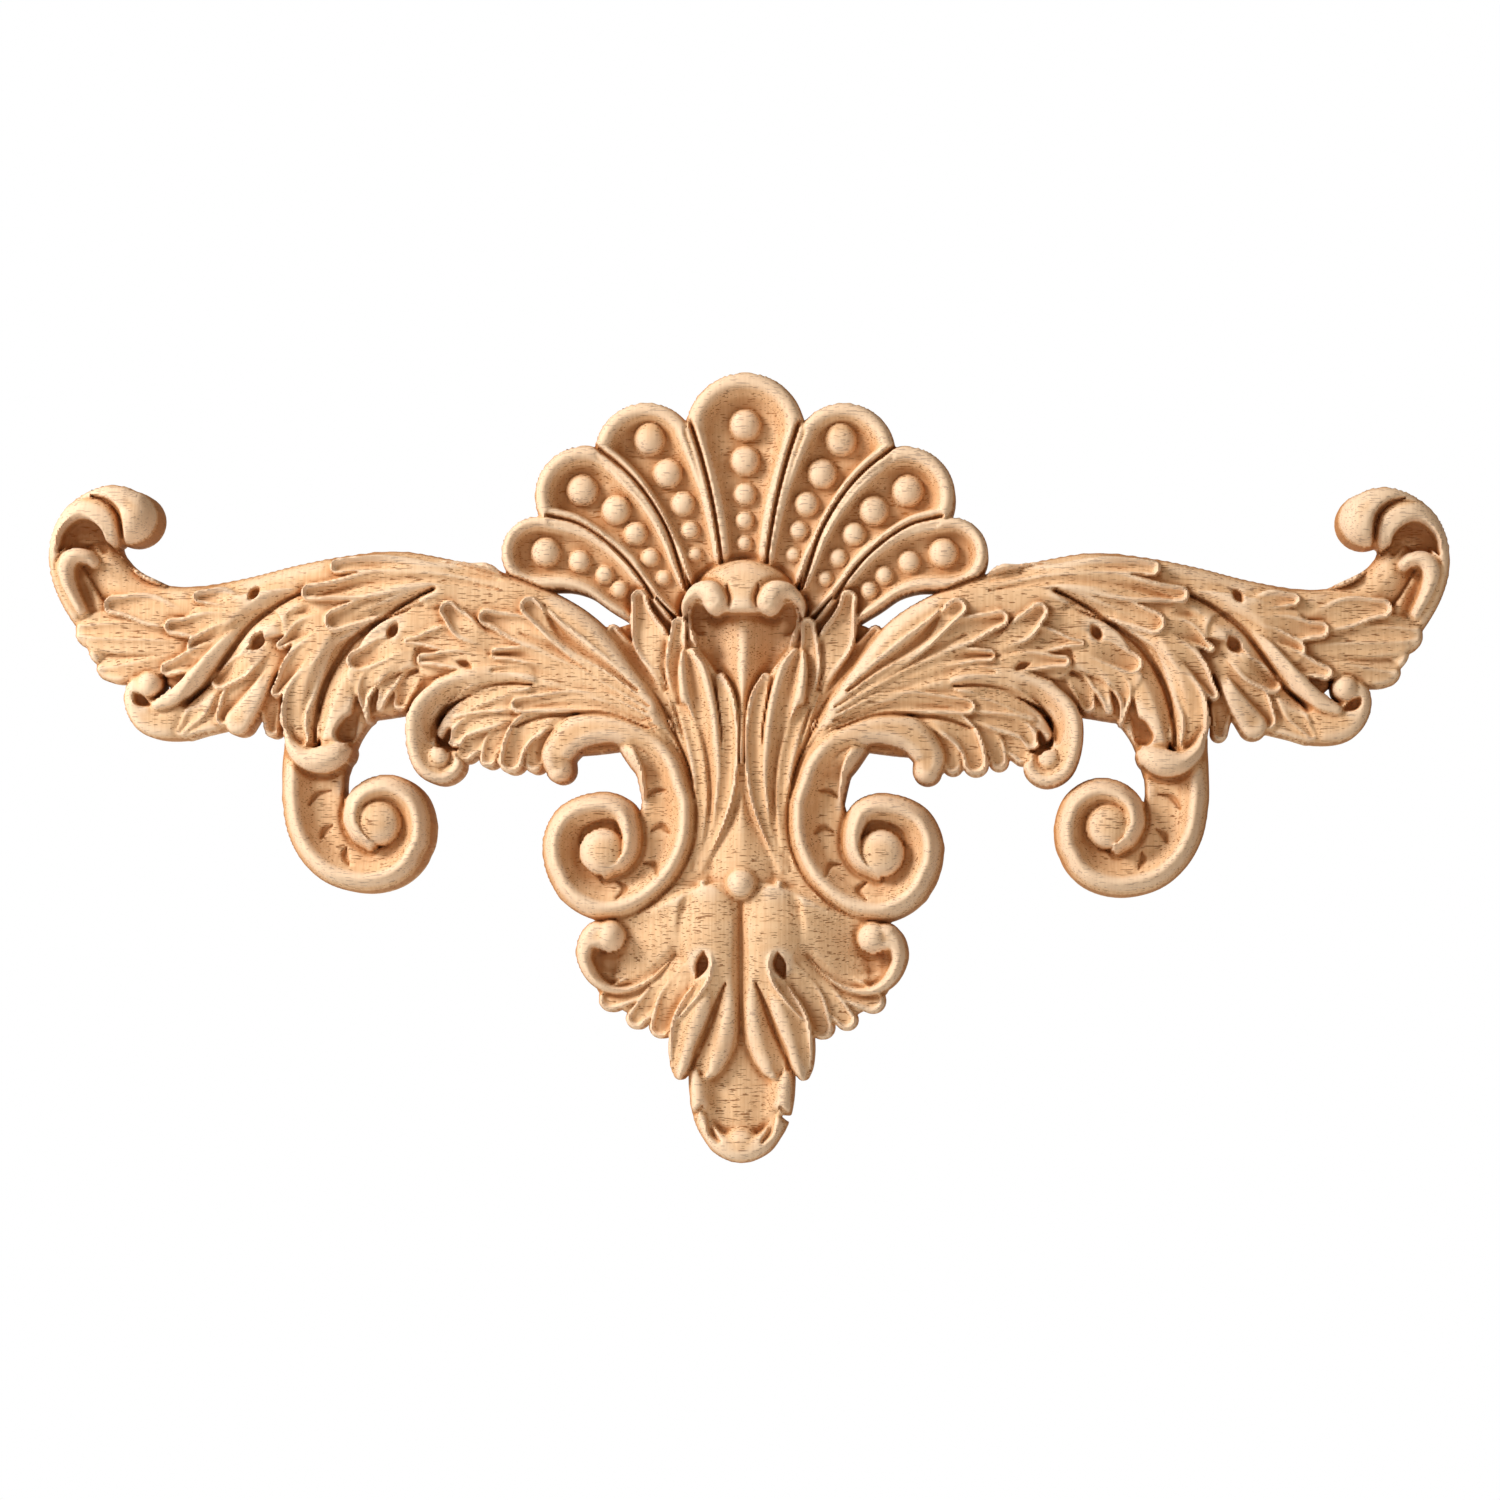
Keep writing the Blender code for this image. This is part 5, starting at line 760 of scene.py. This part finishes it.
def between(field, row, column):
    """Read a field on the grid at broken places: the mean of the four corners by nearness."""
    i = np.clip(row.astype(int), 0, field.shape[0] - 2)
    j = np.clip(column.astype(int), 0, field.shape[1] - 2)
    s = row - i
    t = column - j
    return ((1 - s) * (1 - t) * field[i, j] + s * (1 - t) * field[i + 1, j]
            + (1 - s) * t * field[i, j + 1] + s * t * field[i + 1, j + 1])


def cut_sheet(inside):
    """Triangles of the sheet where inside > 0, as (row, column) places and corner numbers.

    Points close to the outline slide onto it along the slope of inside. A triangle that still crosses
    it is cut where inside is zero on its sides: the place is a + (b - a) * in(a) / (in(a) - in(b)).
    """
    rows, columns = inside.shape
    place = np.stack(np.meshgrid(np.arange(rows), np.arange(columns), indexing="ij"), -1).astype(float)
    slope = np.stack(np.gradient(inside), -1)
    steep = np.maximum((slope ** 2).sum(-1), 1e-9)
    near = (np.abs(inside) < 0.45 * np.sqrt(steep)) & (steep > 0.25 * np.median(steep))
    place[near] -= slope[near] * (inside[near] / steep[near])[:, None]
    value = np.where(near, 0.0, inside).ravel()
    place = place.reshape(-1, 2)
    number = np.arange(rows * columns).reshape(rows, columns)
    a, b, c, d = number[:-1, :-1], number[1:, :-1], number[1:, 1:], number[:-1, 1:]
    flip = ((np.add.outer(np.arange(rows - 1), np.arange(columns - 1)) % 2) == 1)[..., None]
    one = np.where(flip, np.stack([a, b, d], -1), np.stack([a, b, c], -1)).reshape(-1, 3)
    two = np.where(flip, np.stack([b, c, d], -1), np.stack([a, c, d], -1)).reshape(-1, 3)
    corners = np.vstack([one, two])
    over = value[corners] > 0
    wood = value[corners] >= 0
    whole = corners[wood.all(1) & over.any(1)]
    crossing = corners[over.any(1) & ~wood.all(1)]
    kept = [whole]
    sides = []
    pieces = []
    for turn in range(3):
        t = np.roll(crossing, turn, axis=1)
        s = np.sign(value[t])
        lone = (s[:, 0] > 0) & (s[:, 1] < 0) & (s[:, 2] < 0)
        pair = (s[:, 0] < 0) & (s[:, 1] > 0) & (s[:, 2] > 0)
        left = (s[:, 0] > 0) & (s[:, 1] == 0) & (s[:, 2] < 0)
        right = (s[:, 0] > 0) & (s[:, 1] < 0) & (s[:, 2] == 0)
        pieces += [("lone", t[lone]), ("pair", t[pair]), ("left", t[left]), ("right", t[right])]
    for kind, t in pieces:
        p, q, r = t.T
        sides += {"lone": [(p, q), (p, r)], "pair": [(q, p), (r, p)], "left": [(p, r)],
                  "right": [(p, q)]}[kind]
    ends = np.hstack([np.stack(side) for side in sides])
    low = np.minimum(*ends)
    high = np.maximum(*ends)
    _, first, back = np.unique(low * value.size + high, return_index=True, return_inverse=True)
    low, high = low[first], high[first]
    part = value[low] / (value[low] - value[high])
    place = np.vstack([place, place[low] + (place[high] - place[low]) * part[:, None]])
    lengths = np.cumsum([0] + [len(side[0]) for side in sides])
    cuts = iter([rows * columns + back[m:n] for m, n in zip(lengths[:-1], lengths[1:])])
    for kind, t in pieces:
        p, q, r = t.T
        m = next(cuts)
        if kind == "lone":
            kept.append(np.stack([p, m, next(cuts)], 1))
        elif kind == "pair":
            n = next(cuts)
            kept += [np.stack([m, q, r], 1), np.stack([m, r, n], 1)]
        elif kind == "left":
            kept.append(np.stack([p, q, m], 1))
        else:
            kept.append(np.stack([p, m, r], 1))
    corners = np.vstack(kept)
    used, corners = np.unique(corners, return_inverse=True)
    return place[used], corners.reshape(-1, 3)


def close_body(front, corners):
    """A closed body: the front sheet, the same sheet laid flat at y = 0, and a wall along the open edge."""
    count = len(front)
    back = front.copy()
    back[:, 1] = 0.0
    sides = np.vstack([corners[:, [0, 1]], corners[:, [1, 2]], corners[:, [2, 0]]])
    key = np.sort(sides, 1)
    _, where, times = np.unique(key[:, 0] * count + key[:, 1], return_index=True, return_counts=True)
    a, b = sides[where[times == 1]].T
    wall = np.vstack([np.stack([b, a, a + count], 1), np.stack([b, a + count, b + count], 1)])
    return np.vstack([front, back]), np.vstack([corners, corners[:, ::-1] + count, wall])


def make_mesh(name, points, corners, shade):
    """Put whole arrays into a mesh, with one number for each point kept as the attribute hollow, which the
    material uses to paint shade in the hollows and a highlight on the raised parts.
    """
    mesh = bpy.data.meshes.new(name)
    mesh.vertices.add(len(points))
    mesh.vertices.foreach_set("co", points.ravel())
    mesh.loops.add(corners.size)
    mesh.loops.foreach_set("vertex_index", corners.ravel())
    mesh.polygons.add(len(corners))
    mesh.polygons.foreach_set("loop_start", np.arange(0, corners.size, 3))
    mesh.update(calc_edges=True)
    mesh.validate()
    hollow = mesh.attributes.new("hollow", 'FLOAT', 'POINT')
    hollow.data.foreach_set("value", shade)
    return mesh


def thin_out(piece, facets):
    """Merge the flattest facets until no more than so many are left, and take away the loose edges."""
    thin = piece.modifiers.new("fewer_facets", 'DECIMATE')
    thin.ratio = min(1.0, facets / len(piece.data.polygons))
    graph = bpy.context.evaluated_depsgraph_get()
    mesh = bpy.data.meshes.new_from_object(piece.evaluated_get(graph), preserve_all_data_layers=True,
                                           depsgraph=graph)
    piece.modifiers.remove(thin)
    old = piece.data
    piece.data = mesh
    bpy.data.meshes.remove(old)
    bm = bmesh.new()
    bm.from_mesh(mesh)
    bmesh.ops.delete(bm, geom=[edge for edge in bm.edges if edge.is_wire], context='EDGES')
    bm.to_mesh(mesh)
    bm.free()


def carve_board(sizes):
    """The whole carving as a closed mesh: y = -height(x, z) over the outline, walls, and a flat back."""
    step = sizes.step / MM
    across = np.arange(-WIDTH / 2, WIDTH / 2 + step, step)
    up = np.arange(FOOT, TOP + step, step)
    x, z = np.meshgrid(across, up, indexing="ij")
    work = carve(x, z)
    known = work.inside > -0.4
    height = blur(work.height, known, sizes.soften / sizes.step)
    # How far each point lies below the wood round it: the material paints shade where this is high and a
    # highlight where it is low.
    hollow = blur(height, known, sizes.hollow / sizes.step) - height
    place, corners = cut_sheet(work.inside)
    row, column = place.T
    rise = between(height, row, column)
    front = np.stack([(across[0] + row * step) * MM, -rise * MM, (up[0] + column * step) * MM], 1)
    shade = between(hollow, row, column)
    points, corners = close_body(front, corners)
    piece = bpy.data.objects.new("carved_wood", make_mesh("carved_wood", points, corners[:, ::-1],
                                                          np.concatenate([shade, np.zeros(len(shade))])))
    bpy.context.scene.collection.objects.link(piece)
    thin_out(piece, sizes.facets)
    return piece


class Nodes:
    """A small hand for joining shader nodes."""

    def __init__(self, tree):
        self.tree = tree
        self.tree.nodes.clear()

    def add(self, kind, inputs=None, **settings):
        """One node, with its settings, and its inputs given as values or as other nodes' outputs."""
        node = self.tree.nodes.new(kind)
        for name, value in settings.items():
            setattr(node, name, value)
        for name, value in (inputs or {}).items():
            if isinstance(value, bpy.types.NodeSocket):
                self.tree.links.new(value, node.inputs[name])
            else:
                node.inputs[name].default_value = value
        return node

    def noise(self, vector, stretch, detail=2.0, rough=0.5, distortion=0.0):
        """Cloudy noise whose grains are 1 / stretch metres long in each direction."""
        placed = self.add("ShaderNodeMapping", {"Vector": vector, "Scale": stretch})
        return self.add("ShaderNodeTexNoise", {
            "Vector": placed.outputs["Vector"], "Scale": 1.0, "Detail": detail, "Roughness": rough,
            "Distortion": distortion}).outputs["Fac"]

    def between(self, value, low, high, start=0.0, end=1.0):
        """Stretch a value from low..high to start..end, eased and kept inside."""
        return self.add("ShaderNodeMapRange", {
            "Value": value, "From Min": low, "From Max": high, "To Min": start, "To Max": end},
            interpolation_type='SMOOTHSTEP').outputs["Result"]

    def math(self, operation, first, second=0.0):
        """One sum on numbers."""
        return self.add("ShaderNodeMath", {0: first, 1: second}, operation=operation).outputs["Value"]

    def mix(self, share, first, second, blend='MIX'):
        """Mix two colours."""
        node = self.add("ShaderNodeMix", {"Factor": share, 6: first, 7: second}, data_type='RGBA',
                        blend_type=blend)
        return node.outputs[2]


def wood_material(look):
    """Pale wood: streaks along X, short pores along X, fine upright tool lines, darker end grain, painted
    shade down in the hollows and a painted highlight on the raised parts.
    """
    material = bpy.data.materials.new("pale_wood")
    material.use_nodes = True
    n = Nodes(material.node_tree)
    place = n.add("ShaderNodeTexCoord")
    at = place.outputs["Object"]
    cloud = n.between(n.noise(at, (9, 25, 30), 3.0), 0.35, 0.65)
    streak = n.between(n.noise(at, (28, 420, 620), 4.0, 0.6), 0.36, 0.64)
    tone = n.math('ADD', n.math('MULTIPLY', cloud, 0.45), n.math('MULTIPLY', streak, 0.35))
    colour = n.mix(tone, look.pale, look.tan)
    pore_field = n.noise(at, (420, 2600, 4200), 1.5, 0.45)
    crowd = n.between(n.noise(at, (60, 200, 260), 2.0), 0.35, 0.7, 0.585, 0.65)
    pore = n.between(n.math('SUBTRACT', pore_field, crowd), 0.0, 0.05)
    colour = n.mix(n.math('MULTIPLY', pore, 0.85), colour, look.pore)
    line = n.noise(at, (2100, 300, 70), 1.0, 0.4)
    colour = n.mix(n.math('MULTIPLY', n.between(line, 0.35, 0.65), 0.34 * look.tool_mark), colour, look.shade)
    normal = n.add("ShaderNodeSeparateXYZ", {"Vector": place.outputs["Normal"]})
    end_grain = n.between(n.math('ABSOLUTE', normal.outputs["X"]), 0.25, 0.95)
    colour = n.mix(n.math('MULTIPLY', end_grain, 0.35), colour, look.shade)
    # Painted shade: the deeper a point lies in a hollow, the more its colour is mixed towards the shade
    # brown.
    hollow = n.add("ShaderNodeAttribute", attribute_name="hollow")
    deep = n.between(hollow.outputs["Fac"], 0.10, 0.9)
    colour = n.mix(n.math('MULTIPLY', deep, 0.7), colour, look.shade)
    # Painted highlight: the further a point stands above the wood round it, the more its colour is mixed
    # towards a pale cream.
    painted_highlight = n.between(n.math('MULTIPLY', hollow.outputs["Fac"], -1.0), 0.10, 0.7)
    colour = n.mix(n.math('MULTIPLY', painted_highlight, 0.4), colour, (0.97, 0.83, 0.68, 1))
    relief = n.math('ADD', n.math('MULTIPLY', line, look.tool_mark), n.math('MULTIPLY', pore, -0.8))
    relief = n.math('ADD', relief, n.math('MULTIPLY', streak, 0.25))
    bump = n.add("ShaderNodeBump", {"Height": relief, "Strength": 0.8, "Distance": 0.00009})
    shader = n.add("ShaderNodeBsdfPrincipled", {
        "Base Color": colour, "Roughness": look.roughness, "Specular IOR Level": 0.25,
        "Normal": bump.outputs["Normal"]})
    out = n.add("ShaderNodeOutputMaterial")
    n.tree.links.new(shader.outputs["BSDF"], out.inputs["Surface"])
    return material


class APPLIQUE_OT_carve(bpy.types.Operator):
    """Carve the applique from one board and give it the finish of pale wood"""
    bl_idname = "applique.carve"
    bl_label = "Carve the applique"
    bl_options = {'REGISTER', 'UNDO'}

    def execute(self, context):
        piece = carve_board(context.scene.applique_sizes)
        piece.data.materials.append(wood_material(context.scene.applique_wood))
        piece.data.shade_smooth()
        piece.data.set_sharp_from_angle(angle=math.radians(70))
        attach(piece, BODY)
        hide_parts(NODE)
        return {'FINISHED'}


def plain_material(name, colour, roughness):
    """One flat dull colour, for the stage only."""
    material = bpy.data.materials.new(name)
    material.use_nodes = True
    shader = material.node_tree.nodes["Principled BSDF"]
    shader.inputs["Base Color"].default_value = colour
    shader.inputs["Roughness"].default_value = roughness
    return material


def lay_floor(look):
    """A plain square floor well below the applique."""
    half = 1.2
    low = -0.30
    corners = [(-half, -half, low), (half, -half, low), (half, half, low), (-half, half, low)]
    mesh = bpy.data.meshes.new("floor")
    mesh.from_pydata(corners, [], [(0, 1, 2, 3)])
    mesh.materials.append(plain_material("floor", look.floor, 0.9))
    floor = bpy.data.objects.new("floor", mesh)
    bpy.context.scene.collection.objects.link(floor)


def air_light(look):
    """White all round for the camera, and a softer warm white for the light it gives."""
    world = bpy.data.worlds.new("white_room")
    bpy.context.scene.world = world
    world.use_nodes = True
    n = Nodes(world.node_tree)
    ray = n.add("ShaderNodeLightPath")
    seen = n.add("ShaderNodeBackground", {"Color": (1, 1, 1, 1), "Strength": 1.0})
    given = n.add("ShaderNodeBackground", {"Color": (1.0, 0.85, 0.67, 1), "Strength": look.air})
    both = n.add("ShaderNodeMixShader", {0: ray.outputs["Is Camera Ray"], 1: given.outputs[0],
                                         2: seen.outputs[0]})
    out = n.add("ShaderNodeOutputWorld")
    n.tree.links.new(both.outputs[0], out.inputs["Surface"])


def area_light(name, place, size, power, colour):
    """A square soft light aimed at the middle of the applique."""
    data = bpy.data.lights.new(name, 'AREA')
    data.shape = 'SQUARE'
    data.size = size
    data.energy = power
    data.color = colour
    light = bpy.data.objects.new(name, data)
    light.location = place
    light.rotation_euler = (-Vector(place)).to_track_quat('-Z', 'Y').to_euler()
    bpy.context.scene.collection.objects.link(light)


def stand_camera(look):
    """The camera where the photograph was taken from: a long lens, a little right and a little low."""
    data = bpy.data.cameras.new("camera")
    data.sensor_width = 36.0
    data.lens = data.sensor_width * look.distance / look.span
    camera = bpy.data.objects.new("camera", data)
    target = Vector((look.aim_x, 0.0, look.aim_z))
    level = math.cos(look.elevation)
    back = Vector((math.sin(look.azimuth) * level, -math.cos(look.azimuth) * level, math.sin(look.elevation)))
    camera.location = target + back * look.distance
    lean = Quaternion((0.0, 0.0, 1.0), look.roll)
    camera.rotation_euler = ((-back).to_track_quat('-Z', 'Y') @ lean).to_euler()
    bpy.context.scene.collection.objects.link(camera)
    bpy.context.scene.camera = camera


KEY_PLACE = (-1.0, -0.62, 0.62)
KEY_SIZE = 0.45
KEY_COLOUR = (1.0, 0.98, 0.95)


class APPLIQUE_OT_stage(bpy.types.Operator):
    """Lay the floor, set the lights and stand the camera"""
    bl_idname = "applique.stage"
    bl_label = "Set the stage"
    bl_options = {'REGISTER', 'UNDO'}

    def execute(self, context):
        look = context.scene.applique_stage
        lay_floor(look)
        air_light(look)
        area_light("key_light", KEY_PLACE, KEY_SIZE, look.key, KEY_COLOUR)
        stand_camera(look)
        context.scene.view_settings.view_transform = 'Standard'
        return {'FINISHED'}


class APPLIQUE_PT_panel(bpy.types.Panel):
    """The applique's own panel in the sidebar"""
    bl_label = "Carved Applique"
    bl_idname = "APPLIQUE_PT_panel"
    bl_space_type = 'VIEW_3D'
    bl_region_type = 'UI'
    bl_category = "Applique"

    def draw(self, context):
        scene = context.scene
        for operator, group in (("applique.carve", scene.applique_sizes), (None, scene.applique_wood),
                                ("applique.stage", scene.applique_stage)):
            box = self.layout.box()
            for name in group.__annotations__:
                box.prop(group, name)
            if operator:
                box.operator(operator)


CLASSES = (CarvingSizes, WoodLook, StageLook, APPLIQUE_OT_carve, APPLIQUE_OT_stage, APPLIQUE_PT_panel)


def register():
    """Add the classes, and the three groups of settings to the scene."""
    for kind in CLASSES:
        bpy.utils.register_class(kind)
    bpy.types.Scene.applique_sizes = PointerProperty(type=CarvingSizes)
    bpy.types.Scene.applique_wood = PointerProperty(type=WoodLook)
    bpy.types.Scene.applique_stage = PointerProperty(type=StageLook)


def unregister():
    """Take the settings and the classes away again."""
    del bpy.types.Scene.applique_stage
    del bpy.types.Scene.applique_wood
    del bpy.types.Scene.applique_sizes
    for kind in reversed(CLASSES):
        bpy.utils.unregister_class(kind)


def main():
    """Carve the piece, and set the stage."""
    register()
    bpy.ops.applique.carve()
    bpy.ops.applique.stage()


if __name__ == "__main__":
    main()
